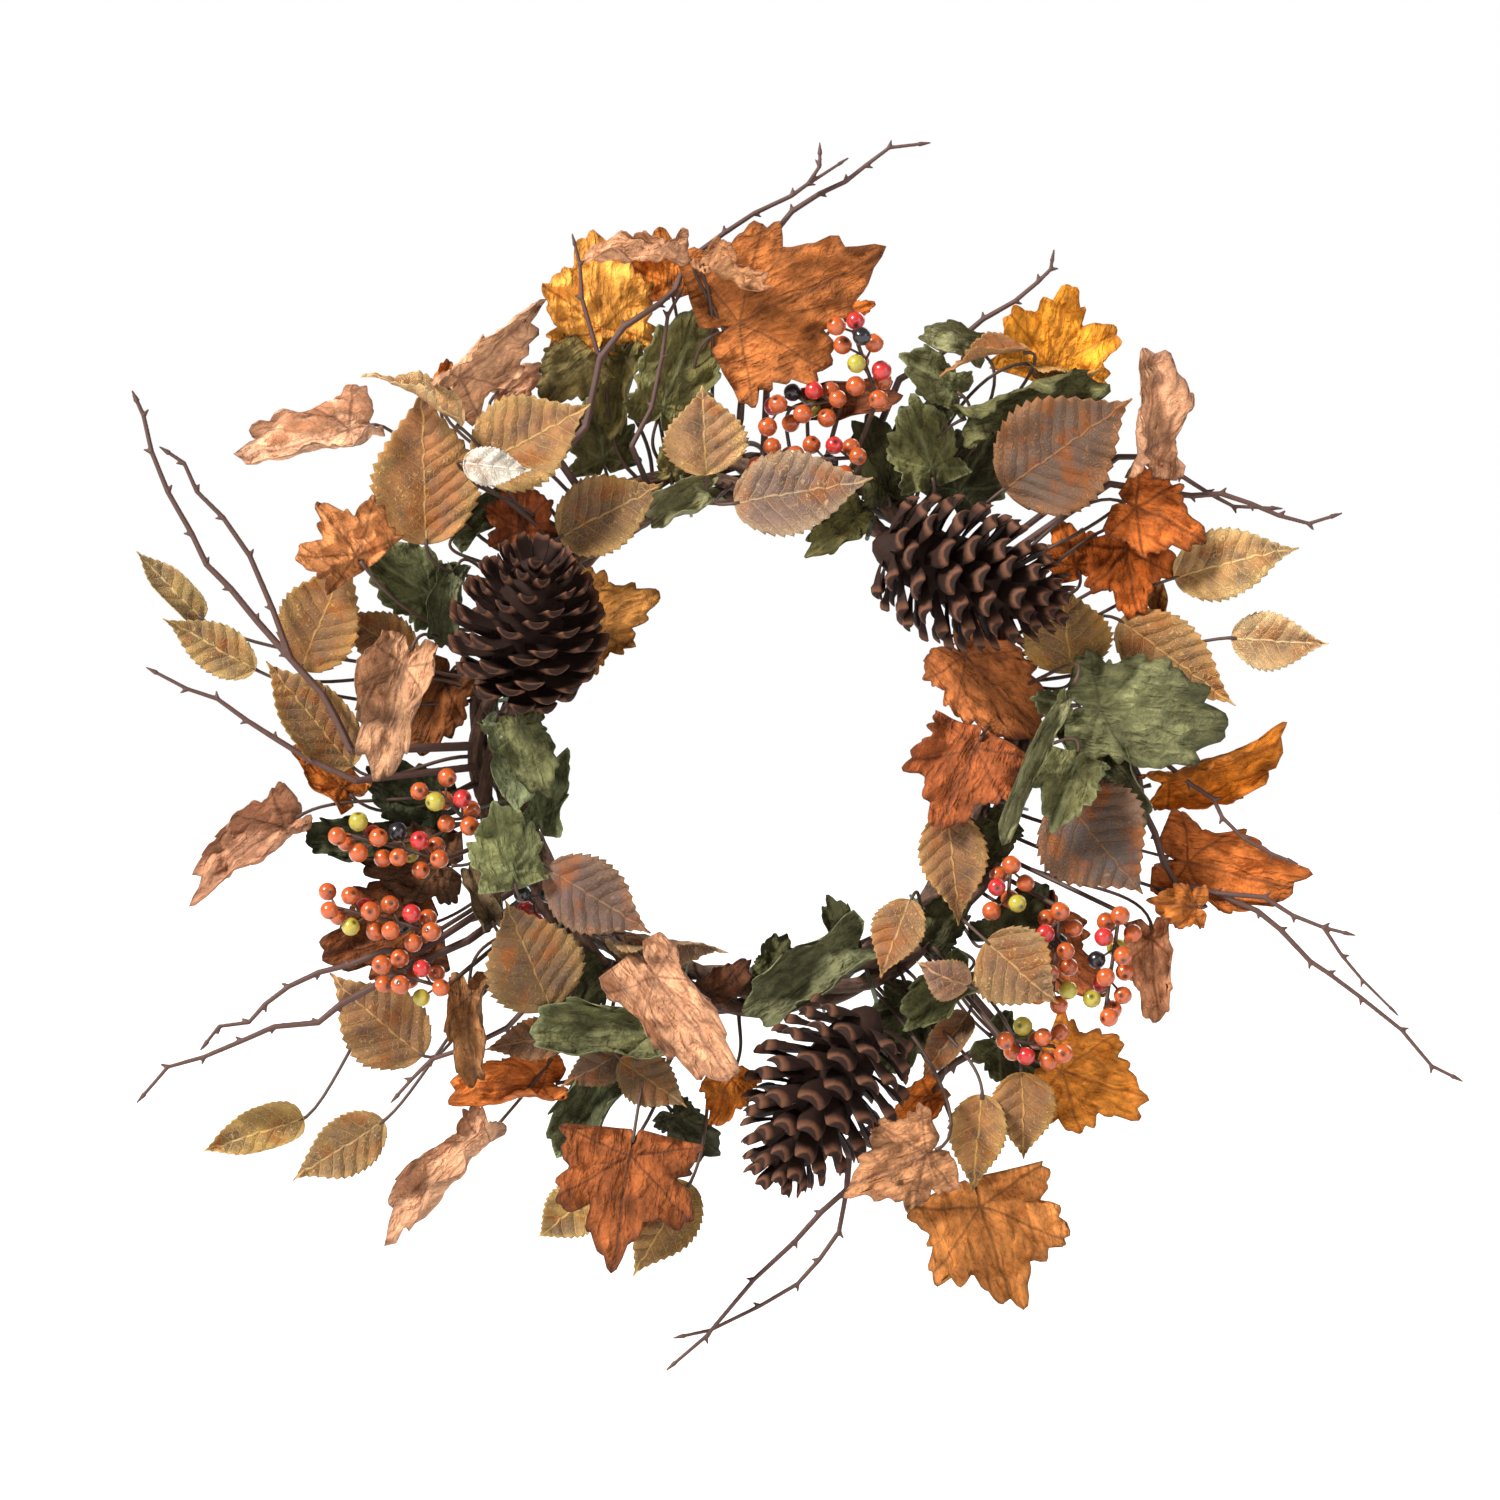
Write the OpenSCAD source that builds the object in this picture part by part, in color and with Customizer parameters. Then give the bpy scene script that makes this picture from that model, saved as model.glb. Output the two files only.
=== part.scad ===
// Harvest door wreath: a vine ring dressed with leaf sprays, berries, cones and twigs.
// Millimetres. The wreath hangs upright: X to the right, Z up, the door lies on the +Y side
// and the leaves face -Y. The origin is the centre of the hanger's eye.
// The tables below are laid out about the ring's centre and moved to the origin at the end.

/* [Ring] */
// Radius of the vine ring's centre line
ring_r = 130; // [126:1:134]
// Distance of each vine from the middle of the bundle
vine_offset = 10; // [9.5:0.1:10.5]
// Radius of one vine
vine_r = 4; // [3.6:0.1:4.2]
// Turns that each vine makes round the bundle
vine_turns = 5; // [4:1:6]
// Radius of the steel wire ring inside the bundle
wire_r = 1.75; // [1.25:0.05:2]

/* [Hanger] */
// Inner radius of the eye that takes the nail
eye_r = 6.5; // [5.5:0.1:6.8]
// Radius of the hanger wire
hanger_wire_r = 1.5; // [1.2:0.1:1.6]
// Half the distance between the staple's legs
staple_half = 12; // [12:0.5:14]

/* [Leaves] */
// Thickness of a leaf along its midrib
leaf_t = 1.2; // [1:0.1:1.4]
// How far a leaf's edges rise, as a share of its half width
leaf_fold = 0.16; // [0.1:0.01:0.2]
// How far a leaf's middle bows forward
leaf_bow = 3; // [2:0.5:3.5]
// Radius of a leaf's stem
stem_r = 1; // [0.8:0.1:1.2]

/* [Berries] */
// Radius of a berry
berry_r = 5; // [4.5:0.1:5.2]
// Distance of the berries from their sprig's middle
berry_offset = 8; // [7.8:0.1:8.2]
// Step along the sprig from one berry to the next
berry_step = 3.7; // [3.5:0.1:4]

/* [Cones] */
// Number of scales on each pine cone
scale_count = 30; // [30:1:60]

/* [Hidden] */
bundle_y = -22;
bundle_r = vine_offset + vine_r;
hinge_y = -1;
hinge_z = ring_r;
barrel_r = 3.4;
eye_z = hinge_z + barrel_r + eye_r + hanger_wire_r - 0.6;
golden = 137.5;
front = [0, -1, 0];

OVATE = [[0, 0.08], [0.05, 0.4], [0.16, 0.8], [0.4, 1], [0.72, 0.66], [1, 0.04]];
LOBED = [[0, 0.1], [0.04, 0.62], [0.16, 1], [0.34, 0.78], [0.52, 0.86], [0.76, 0.4], [1, 0.04]];

// Every leaf: base point, tip point, width, roll about its own length
golden_top_left_rows = [
    [[-162, -52, 95], [-164, -60, 174], 54, 10],
    [[-143, -76, 152], [-190, -80, 181], 14, 55],
    [[-136, -68, 132], [-78, -72, 163], 48, -6],
    [[-141, -86, 135], [-108, -88, 130], 20, 15],
    [[-96, -44, 99], [-41, -56, 125], 40, -8]];
golden_top_rows = [
    [[-22, -74, 129], [-24, -82, 173], 42, 8],
    [[-8, -86, 114], [61, -90, 125], 42, -6]];
golden_top_right_rows = [
    [[126, -66, 122], [189, -74, 167], 60, 8],
    [[213, -40, 79], [274, -52, 94], 36, -10],
    [[242, -36, 49], [290, -46, 46], 30, 10],
    [[162, -44, 31], [155, -50, 77], 45, -8],
    [[186, -36, 58], [244, -44, 15], 38, 8],
    [[139, -60, 191], [94, -62, 180], 12, 60],
    [[138, -50, 186], [176, -52, 181], 12, 55]];
golden_right_rows = [
    [[98, -54, -38], [104, -60, -95], 35, -10],
    [[155, -62, -30], [195, -70, -79], 58, 8],
    [[80, -66, -82], [65, -74, -121], 27, 15],
    [[117, -74, -102], [152, -80, -133], 42, 8],
    [[108, -86, -124], [82, -90, -112], 22, -12]];
golden_lower_right_rows = [
    [[116, -58, -179], [111, -66, -228], 29, 10],
    [[136, -48, -169], [136, -54, -212], 33, -8],
    [[110, -38, -140], [86, -42, -173], 18, 10]];
golden_lower_left_rows = [
    [[-100, -80, -66], [-48, -84, -97], 38, 8],
    [[-99, -66, -136], [-122, -76, -81], 50, 8],
    [[-165, -28, -162], [-212, -34, -121], 43, -8],
    [[-224, -40, -193], [-274, -48, -209], 22, 12],
    [[-184, -38, -194], [-230, -46, -222], 30, -10],
    [[-90, -44, -150], [-133, -48, -157], 22, 8]];
golden_bottom_rows = [
    [[-78, -40, -227], [-107, -34, -254], 28, -8],
    [[-30, -40, -225], [-59, -46, -271], 34, 8],
    [[-62, -42, -157], [-95, -44, -176], 22, -8],
    [[-65, -50, -162], [-31, -50, -185], 28, 8],
    [[-72, -70, -100], [-38, -72, -106], 11, 45],
    [[-63, -62, -99], [-10, -64, -103], 12, 45]];
golden_left_rows = [
    [[-225, -44, 33], [-199, -52, 90], 43, -8],
    [[-200, -36, -16], [-243, -42, 37], 32, 8],
    [[-276, -30, 58], [-309, -38, 92], 15, 10],
    [[-249, -34, 33], [-294, -40, 60], 26, -10],
    [[-168, -40, 37], [-207, -42, 62], 28, 8]];
maple_top_left_rows = [
    [[-189, -44, 156], [-258, -54, 134], 28, 25],
    [[-152, -64, 171], [-106, -66, 214], 30, 35],
    [[-128, -48, 170], [-104, -52, 184], 20, 10],
    [[-156, -34, 170], [-151, -34, 189], 12, 10],
    [[-88, -36, 52], [-48, -44, 72], 46, -8],
    [[-114, -38, 98], [-120, -40, 134], 34, 8]];
maple_top_rows = [
    [[-75, -34, 195], [-76, -42, 258], 56, 6],
    [[-39, -28, 222], [-46, -30, 255], 38, -6],
    [[-7, -28, 226], [-37, -20, 228], 16, 10],
    [[-32, -78, 236], [-84, -82, 233], 18, 50],
    [[-26, -80, 232], [7, -90, 215], 18, -50],
    [[-18, -60, 200], [63, -70, 236], 84, 6],
    [[49, -30, 212], [62, -30, 218], 10, 6],
    [[25, -44, 166], [79, -48, 173], 20, 8]];
maple_top_right_rows = [
    [[150, -26, 180], [160, -32, 228], 60, 6],
    [[196, -54, 131], [202, -60, 197], 28, 30],
    [[185, -54, 117], [229, -58, 95], 40, -6],
    [[189, -36, 100], [195, -40, 58], 48, 6],
    [[167, -24, 81], [156, -26, 111], 32, 6],
    [[205, -24, 77], [210, -26, 41], 10, 10]];
maple_right_rows = [
    [[100, -40, 47], [150, -46, -3], 46, 6],
    [[116, -54, 0], [93, -62, -46], 56, 6],
    [[199, -34, -26], [273, -37, -4], 24, 30],
    [[208, -33, -61], [282, -38, -80], 45, -6],
    [[226, -60, -86], [198, -62, -84], 22, 6],
    [[202, -36, -95], [205, -42, -145], 30, 20],
    [[136, -30, -92], [176, -32, -130], 44, 8]];
maple_lower_right_rows = [
    [[148, -30, -166], [203, -38, -184], 56, 6],
    [[94, -94, -203], [44, -108, -222], 46, 8],
    [[112, -44, -226], [133, -52, -292], 74, -6],
    [[94, -48, -176], [68, -50, -204], 22, 8]];
maple_bottom_rows = [
    [[-58, -62, -200], [-68, -70, -264], 70, 6],
    [[-7, -36, -167], [-19, -40, -196], 28, 8],
    [[-95, -34, -175], [-152, -36, -182], 24, 25],
    [[-126, -40, -195], [-178, -46, -256], 24, 45],
    [[-140, -54, -121], [-139, -56, -176], 20, 10],
    [[-54, -80, -109], [-6, -88, -172], 42, 12],
    [[-22, -36, -132], [1, -38, -115], 20, 8]];
maple_left_rows = [
    [[-226, -34, -40], [-280, -42, -80], 28, 25],
    [[-168, -58, 45], [-189, -64, -24], 40, 10],
    [[-200, -26, -32], [-233, -28, 1], 24, 8],
    [[-192, -66, 84], [-214, -72, 114], 50, 8],
    [[-160, -24, -95], [-220, -28, -113], 58, 6],
    [[-150, -24, 34], [-172, -24, -12], 38, 8],
    [[-148, -24, -66], [-202, -28, -64], 40, 8]];
green_top_rows = [
    [[-79, -42, 191], [-106, -44, 166], 34, 8],
    [[-62, -34, 197], [-72, -34, 147], 20, 8],
    [[-47, -44, 156], [-25, -50, 212], 40, 8],
    [[-40, -36, 129], [-40, -36, 152], 14, 8],
    [[-16, -52, 124], [-52, -52, 108], 18, 8],
    [[58, -38, 113], [29, -40, 90], 22, 8],
    [[-73, -26, 134], [-80, -28, 170], 36, 8]];
green_top_right_rows = [
    [[117, -46, 191], [86, -48, 202], 18, 8],
    [[106, -52, 170], [75, -54, 188], 22, 8],
    [[105, -58, 157], [171, -60, 182], 24, 35],
    [[98, -42, 168], [86, -44, 142], 16, 8],
    [[70, -42, 118], [58, -43, 160], 28, 8],
    [[92, -52, 126], [78, -54, 168], 36, 8],
    [[102, -28, 116], [126, -30, 160], 40, 8]];
green_right_rows = [
    [[162, -58, 15], [238, -66, 7], 58, 6],
    [[159, -64, 15], [138, -66, 17], 14, 8],
    [[162, -80, -10], [150, -86, -45], 34, 8],
    [[161, -92, 28], [125, -92, -48], 9, 15],
    [[165, -46, 7], [195, -50, -47], 30, 8],
    [[130, -42, -42], [110, -44, -66], 22, 8]];
green_lower_right_rows = [
    [[120, -18, -151], [160, -20, -181], 32, 8],
    [[111, -46, -117], [76, -44, -145], 26, 8],
    [[48, -44, -112], [40, -46, -80], 16, 8],
    [[88, -41, -106], [108, -41, -78], 24, 8],
    [[118, -36, -106], [150, -40, -78], 28, 8],
    [[84, -30, -128], [68, -34, -170], 34, 8]];
green_bottom_rows = [
    [[58, -53, -102], [-1, -57, -141], 28, 12],
    [[7, -44, -122], [17, -46, -98], 16, 8],
    [[-38, -56, -150], [-112, -58, -147], 28, 12],
    [[-62, -34, -155], [-95, -32, -210], 28, 8],
    [[-41, -30, -188], [-17, -30, -213], 24, 8],
    [[-72, -36, -118], [-98, -40, -138], 26, 8]];
green_left_rows = [
    [[-181, -36, -55], [-226, -38, -51], 24, 8],
    [[-116, -84, -74], [-126, -82, -34], 36, 8],
    [[-127, -68, -95], [-140, -68, -63], 16, 10],
    [[-132, -44, 11], [-105, -44, -32], 12, 40],
    [[-107, -33, -48], [-98, -34, -8], 22, 8],
    [[-155, -39, 67], [-196, -39, 95], 38, 6],
    [[-150, -28, 100], [-122, -30, 124], 18, 8],
    [[-147, -46, 84], [-152, -48, 45], 16, 15],
    [[-116, -62, 10], [-101, -65, -30], 26, 8],
    [[-152, -20, -42], [-196, -22, -20], 34, 8]];

// Every berry sprig: start, end, number of berries
sprigs_top = [
    [[63, -80, 166], [48, -96, 206], 11],
    [[46, -66, 167], [6, -62, 160], 11],
    [[56, -68, 138], [2, -64, 135], 14]];
sprigs_left = [
    [[-138, -68, -46], [-160, -72, -22], 8],
    [[-152, -66, -62], [-206, -66, -48], 14],
    [[-156, -64, -98], [-214, -64, -84], 15],
    [[-152, -60, -126], [-186, -62, -116], 9]];
sprigs_inner_left = [
    [[-114, -60, -78], [-100, -62, -90], 4]];
sprigs_right = [
    [[130, -58, -64], [128, -62, -90], 7],
    [[184, -62, -88], [176, -64, -142], 14],
    [[154, -62, -86], [150, -64, -136], 13],
    [[126, -56, -152], [158, -60, -156], 9]];

// Every twig: its bends as X and Z, then Y at its root and at its end, radius at each
twig_top_paths = [
    [[[-96, 138], [-82, 154], [-75, 188], [-63, 204], [-46, 215], [-37, 223], [-32, 237],
      [-13, 251], [2, 261], [21, 270], [29, 276], [35, 285], [35, 293]], -56, -46, 2.2, 1],
    [[[29, 276], [46, 287]], -46, -46, 1.1, 0.8],
    [[[12, 252], [21, 263], [35, 272], [48, 278], [58, 286], [70, 295], [87, 297]],
     -40, -40, 1.8, 1],
    [[[-76, 190], [-84, 218], [-85, 235], [-88, 247]], -54, -52, 1.5, 0.9],
    [[[-59, 144], [-49, 163], [-44, 188], [-41, 209], [-35, 220]], -60, -58, 1.6, 1]];
twig_upper_right_paths = [
    [[[75, 179], [91, 188], [104, 198], [117, 209], [133, 218], [145, 228], [151, 234],
      [152, 240]], -36, -40, 2, 1],
    [[[75, 158], [92, 165], [104, 169]], -36, -36, 1.5, 1]];
twig_right_upper_paths = [
    [[[185, 140], [207, 140], [216, 131], [230, 122], [243, 115], [264, 114]], -36, -38, 1.8, 1],
    [[[180, 126], [199, 123], [221, 120], [236, 121], [251, 116], [265, 110], [280, 106],
      [293, 110]], -46, -46, 2, 1]];
twig_left_upper_paths = [
    [[[-199, -8], [-207, 9], [-213, 20], [-231, 40], [-246, 57], [-259, 73], [-271, 85],
      [-278, 100], [-290, 121], [-298, 141], [-302, 159], [-306, 168]], -56, -62, 2.4, 1.2],
    [[[-229, 38], [-238, 63], [-249, 89], [-262, 108], [-275, 121], [-281, 135], [-290, 141]],
     -58, -70, 1.8, 1.1]];
twig_left_middle_paths = [
    [[[-197, -23], [-219, -13], [-237, -2], [-251, 7], [-266, 18], [-281, 23], [-298, 32]],
     -50, -56, 2, 1]];
twig_left_lower_paths = [
    [[[-141, -103], [-159, -111], [-181, -122], [-205, -135], [-216, -144], [-238, -146],
      [-254, -153], [-273, -161], [-291, -166], [-304, -181]], -46, -52, 2.4, 1],
    [[[-166, -109], [-183, -108], [-200, -115], [-216, -119], [-231, -126], [-243, -135],
      [-251, -144], [-266, -146], [-273, -155]], -46, -46, 2, 1],
    [[[-106, -130], [-121, -146], [-141, -156], [-159, -162], [-169, -172], [-177, -181]],
     -56, -54, 1.8, 1]];
twig_bottom_paths = [
    [[[130, -152], [103, -167], [86, -182], [71, -194], [51, -205]], -11, -16, 2.4, 2],
    [[[51, -205], [49, -230], [36, -241], [23, -255], [2, -274], [-22, -302], [-39, -316]],
     -16, -44, 2, 1],
    [[[49, -230], [45, -251], [35, -265], [24, -277], [5, -288], [-20, -300], [-35, -303]],
     -22, -32, 1.5, 1]];
twig_right_paths = [
    [[[176, 1], [189, 5], [197, -2], [207, -13], [220, -24], [232, -32], [236, -41],
      [247, -52], [260, -59], [270, -63]], -41, -56, 1.8, 1],
    [[[176, 1], [189, -9], [195, -21], [197, -37], [203, -49], [207, -63], [213, -74],
      [233, -79], [254, -88], [265, -97], [280, -113], [289, -119], [305, -131], [325, -147],
      [340, -165], [352, -171]], -40, -58, 2.4, 1],
    [[[233, -79], [257, -81], [271, -90], [286, -96], [298, -99]], -50, -60, 1.6, 1],
    [[[286, -96], [295, -110], [305, -122], [320, -137]], -58, -62, 1.2, 0.8]];

// Every cone: base, tip, largest radius
cone_left_row = [[-116, -64, 16], [-103, -118, 92], 43];
cone_upper_right_row = [[55, -80, 98], [161, -78, 60], 42];
cone_bottom_row = [[64, -79, -129], [6, -77, -228], 43];

function unit(v) = v / norm(v);
function across(v, n) = unit(n - v * (n * v));
function ring_point(q) = ring_r * unit([q[0], 0, q[2]]) + [0, bundle_y, 0];
function reach(q, depth) = ring_point(q) + (bundle_r - depth) * unit(q - ring_point(q));
function vine_point(a, phase) =
    let (r = ring_r + vine_offset * cos(vine_turns * a + phase))
    [r * cos(a), bundle_y + vine_offset * sin(vine_turns * a + phase), r * sin(a)];

module placed() {
    translate([0, -hinge_y, -eye_z]) children();
}

// A closed tube through the points p, whose radius runs from r0 to r1
module tube(p, r0, r1, sides = 5, loop = false) {
    n = len(p);
    rings = [for (i = [0:n - 1])
        let (a = p[loop ? (i + n - 1) % n : max(i - 1, 0)],
            b = p[loop ? (i + 1) % n : min(i + 1, n - 1)],
            t = unit(b - a), u = unit(cross(t, front)), v = cross(t, u),
            r = r0 + (r1 - r0) * i / (n - 1))
        each [for (k = [0:sides - 1])
            p[i] + r * (u * cos(360 * k / sides) + v * sin(360 * k / sides))]];
    last = loop ? n - 1 : n - 2;
    walls = [for (i = [0:last]) for (k = [0:sides - 1])
        let (j = (i + 1) % n, m = (k + 1) % sides)
        each [[i * sides + k, j * sides + k, j * sides + m],
            [i * sides + k, j * sides + m, i * sides + m]]];
    caps = loop ? [] : [[for (k = [0:sides - 1]) k],
        [for (k = [0:sides - 1]) n * sides - 1 - k]];
    polyhedron(rings, concat(walls, caps));
}

// A thin leaf, folded toward its front along the midrib and bowed along its length
module leaf(row, shape) {
    a = row[0];
    length = norm(row[1] - a);
    u = (row[1] - a) / length;
    n0 = across(u, front);
    n = n0 * cos(row[3]) + cross(u, n0) * sin(row[3]);
    s = cross(u, n);
    pts = [for (k = shape)
        let (h = k[1] * row[2] / 2,
            mid = a + u * length * k[0] + n * leaf_bow * 4 * k[0] * (1 - k[0]),
            rim = mid + n * leaf_fold * h)
        each [rim - s * h, mid + n * leaf_t / 2, rim + s * h, mid - n * leaf_t / 2]];
    c = len(shape);
    skin = [for (i = [0:c - 2]) for (k = [0:3])
        let (m = (k + 1) % 4)
        each [[4 * i + k, 4 * i + 4 + k, 4 * i + 4 + m], [4 * i + k, 4 * i + 4 + m, 4 * i + m]]];
    e = 4 * c - 4;
    caps = [[0, 1, 3], [1, 2, 3], [e + 1, e, e + 3], [e + 1, e + 3, e + 2]];
    polyhedron(pts, concat(skin, caps));
}

module leaves(rows, shape) {
    placed() for (r = rows) leaf(r, shape);
}

// A round rod between two points
module rod(a, b, r) {
    d = b - a;
    translate(a)
    rotate([0, acos(d[2] / norm(d)), atan2(d[1], d[0])])
    cylinder(h = norm(d), r = r, $fn = 16);
}

// Stems from the leaves' bases into the vine bundle, bent behind the outer leaves
module stems(rows) {
    placed() for (r = rows) {
        a = r[0];
        foot = reach(a, 5);
        far = norm([a[0], a[2]]) > 170;
        elbow = [a[0] * 0.78 + foot[0] * 0.22, max(a[1] + 14, -26), a[2] * 0.78 + foot[2] * 0.22];
        start = a + 2 * unit(r[1] - a);
        if (far) tube([start, elbow, foot], stem_r, stem_r, 6);
        else rod(start, foot, stem_r);
    }
}

function twig_point(path, i) =
    let (n = len(path[0]) - 1)
    [path[0][i][0], path[1] + (path[2] - path[1]) * i / n, path[0][i][1]];

// A budded twig: tapered shoots with a bud at each bend and a swollen tip
module twig(paths, rooted) {
    placed() union() {
        for (s = paths) {
            p = [for (i = [0:len(s[0]) - 1]) twig_point(s, i)];
            tube(p, s[3], s[4]);
            for (i = [1:len(p) - 2]) bud(p[i], p[i + 1] - p[i - 1], s[4] + 0.5, i);
            tip = unit(p[len(p) - 1] - p[len(p) - 2]);
            hull() translate(p[len(p) - 1] - tip * 2)
            rotate([0, acos(tip[2]), atan2(tip[1], tip[0])])
            cylinder(h = 6, r1 = 1.5 * s[4], r2 = 0.5, $fn = 4);
        }
        for (k = rooted) {
            p = twig_point(paths[k], 0);
            tube([reach(p, 5), (reach(p, 5) + p) / 2, p + 0.5 * unit(p - reach(p, 5))],
                paths[k][3] + 0.3, paths[k][3]);
        }
    }
}

module bud(at, along, r, i) {
    t = unit(along);
    side = cross(t, front) * (i % 2 == 0 ? 1 : -1);
    d = unit(side * (r + 2.2) + t * 2.6);
    hull() translate(at) rotate([0, acos(d[2]), atan2(d[1], d[0])])
    cylinder(h = r + 2.6, r1 = r, r2 = 0.5, $fn = 4);
}

function sprig_count(rows, k) = k < 0 ? 0 : rows[k][2] + sprig_count(rows, k - 1);
function sprig_berry(row, i) =
    let (u = unit(row[1] - row[0]), n = across(u, front), s = cross(u, n),
        turn = golden * i,
        step = norm(row[1] - row[0]) / row[2])
    row[0] + u * max(step, berry_step) * (i + 0.5)
        + berry_offset * (n * cos(turn) + s * sin(turn));
function sprig_axis(row, i) =
    let (step = norm(row[1] - row[0]) / row[2])
    row[0] + unit(row[1] - row[0]) * max(step, berry_step) * max(i - 1.2, 0);

// Colour of berry i on sprig k: 0 orange, 1 red, 2 yellow, 3 black
function tint(k, i) = i % 6 == 3 ? 1 : (i + k) % 7 == 5 ? 2 : (i + 2 * k) % 11 == 8 ? 3 : 0;
function dark_tint(i) = i % 2 == 0 ? 3 : 1;

module berries(rows, want) {
    placed() for (k = [0:len(rows) - 1]) for (i = [0:rows[k][2] - 1])
        if (tint(k, i) == want) translate(sprig_berry(rows[k], i)) sphere(r = berry_r, $fn = 24);
}

module inner_berries(want) {
    row = sprigs_inner_left[0];
    placed() for (i = [0:row[2] - 1])
        if (dark_tint(i) == want) translate(sprig_berry(row, i)) sphere(r = berry_r, $fn = 24);
}

module berry_stems(rows) {
    placed() for (row = rows) union() {
        count = row[2];
        rod(reach(row[0], 5), row[0], 1.2);
        rod(row[0] - 0.8 * unit(row[1] - row[0]), sprig_axis(row, count - 1)
            + unit(row[1] - row[0]), 1);
        for (i = [0:count - 1]) {
            b = sprig_berry(row, i);
            a = sprig_axis(row, i);
            rod(a, b + (a - b) * (berry_r - 1) / norm(a - b), 0.6);
        }
    }
}

// Width of a cone at the share t of its length, from the base
function cone_width(t) = t < 0.35 ? 0.62 + 0.38 * sin(t * 257) : cos((t - 0.35) * 112);

module pine_cone(row) {
    length = norm(row[1] - row[0]);
    d = unit(row[1] - row[0]);
    placed() translate(row[0])
    rotate([0, acos(d[2]), atan2(d[1], d[0])])
    union() {
        translate([0, 0, length * 0.46])
        scale([row[2] * 0.36, row[2] * 0.36, length * 0.46]) sphere(r = 1, $fn = 8);
        for (i = [0:scale_count - 1]) {
            t = i / (scale_count - 1);
            r = row[2] * cone_width(t);
            z = length * (0.05 + 0.84 * t);
            rotate([0, 0, golden * i]) hull() {
                translate([r * 0.2, 0, z]) cube([2, 3, 2], center = true);
                translate([r - 3, 0, z + 2 + 7 * t]) rotate([0, -35 - 30 * t, 0])
                cube([4, 15 - 6 * t, 2.6], center = true);
            }
        }
    }
}

module cone_wire(row) {
    start = row[0] + 3 * unit(row[1] - row[0]);
    rod(reach(row[0], 5), start, 1.1);
}

module vine(k) {
    rings = 46;
    placed() tube([for (i = [0:rings - 1]) vine_point(360 * i / rings, 72 * k)],
        vine_r, vine_r, 6, true);
}

module wire_frame_ring() {
    color("#6b6660") placed() translate([0, bundle_y, 0]) rotate([90, 0, 0])
    rotate_extrude($fn = 96) translate([ring_r, 0]) circle(r = wire_r, $fn = 16);
}
module vine_strand_1() { color("#5a4030") vine(0); }
module vine_strand_2() { color("#54392a") vine(1); }
module vine_strand_3() { color("#5a4030") vine(2); }
module vine_strand_4() { color("#54392a") vine(3); }
module vine_strand_5() { color("#5a4030") vine(4); }

// Loops of thin wire that hold the vines together
module binding_wires() {
    tie_r = 0.8;
    color("#4d5044") placed() for (i = [0:11])
        rotate([0, -30 * i - 15, 0]) translate([ring_r, bundle_y, 0])
        rotate_extrude($fn = 48) translate([bundle_r + 0.4 + tie_r, 0])
        circle(r = tie_r, $fn = 16);
}

module hanger_staple() {
    color("#77756f") placed() union() {
        rod([-staple_half, hinge_y, hinge_z], [staple_half, hinge_y, hinge_z], hanger_wire_r);
        for (x = [-staple_half, staple_half]) {
            translate([x, hinge_y, hinge_z]) sphere(r = hanger_wire_r * 1.1, $fn = 24);
            rod([x, hinge_y, hinge_z], [x, bundle_y + 6, hinge_z], hanger_wire_r);
        }
    }
}

// The eye that takes the nail, with a barrel that turns on the staple's bar
module hanger_loop() {
    barrel_half = 4;
    clearance = 0.08;
    color("#8a8780") placed() difference() {
        union() {
            rod([-barrel_half, hinge_y, hinge_z], [barrel_half, hinge_y, hinge_z], barrel_r);
            translate([0, hinge_y, eye_z]) rotate([90, 0, 0])
            rotate_extrude($fn = 48) translate([eye_r + hanger_wire_r, 0])
            circle(r = hanger_wire_r, $fn = 16);
        }
        rod([-barrel_half - 2, hinge_y, hinge_z], [barrel_half + 2, hinge_y, hinge_z],
            hanger_wire_r + clearance);
    }
}

module golden_leaves_top_left() { color("#b58a4a") leaves(golden_top_left_rows, OVATE); }
module golden_leaves_top() { color("#b58a4a") leaves(golden_top_rows, OVATE); }
module golden_leaves_top_right() { color("#b58a4a") leaves(golden_top_right_rows, OVATE); }
module golden_leaves_right() { color("#8f7048") leaves(golden_right_rows, OVATE); }
module golden_leaves_lower_right() { color("#b58a4a") leaves(golden_lower_right_rows, OVATE); }
module golden_leaves_lower_left() { color("#b58a4a") leaves(golden_lower_left_rows, OVATE); }
module golden_leaves_bottom() { color("#b58a4a") leaves(golden_bottom_rows, OVATE); }
module golden_leaves_left() { color("#b58a4a") leaves(golden_left_rows, OVATE); }
module maple_leaves_top_left() { color("#c48a62") leaves(maple_top_left_rows, LOBED); }
module maple_leaves_top() { color("#c8702e") leaves(maple_top_rows, LOBED); }
module maple_leaves_top_right() { color("#c8702e") leaves(maple_top_right_rows, LOBED); }
module maple_leaves_right() { color("#a8622f") leaves(maple_right_rows, LOBED); }
module maple_leaves_lower_right() { color("#c8702e") leaves(maple_lower_right_rows, LOBED); }
module maple_leaves_bottom() { color("#c8702e") leaves(maple_bottom_rows, LOBED); }
module maple_leaves_left() { color("#c48a62") leaves(maple_left_rows, LOBED); }
module green_leaves_top() { color("#5c6138") leaves(green_top_rows, LOBED); }
module green_leaves_top_right() { color("#6f7f5c") leaves(green_top_right_rows, LOBED); }
module green_leaves_right() { color("#5c6138") leaves(green_right_rows, LOBED); }
module green_leaves_lower_right() { color("#5c6138") leaves(green_lower_right_rows, LOBED); }
module green_leaves_bottom() { color("#6f7f5c") leaves(green_bottom_rows, LOBED); }
module green_leaves_left() { color("#5c6138") leaves(green_left_rows, LOBED); }

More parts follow.
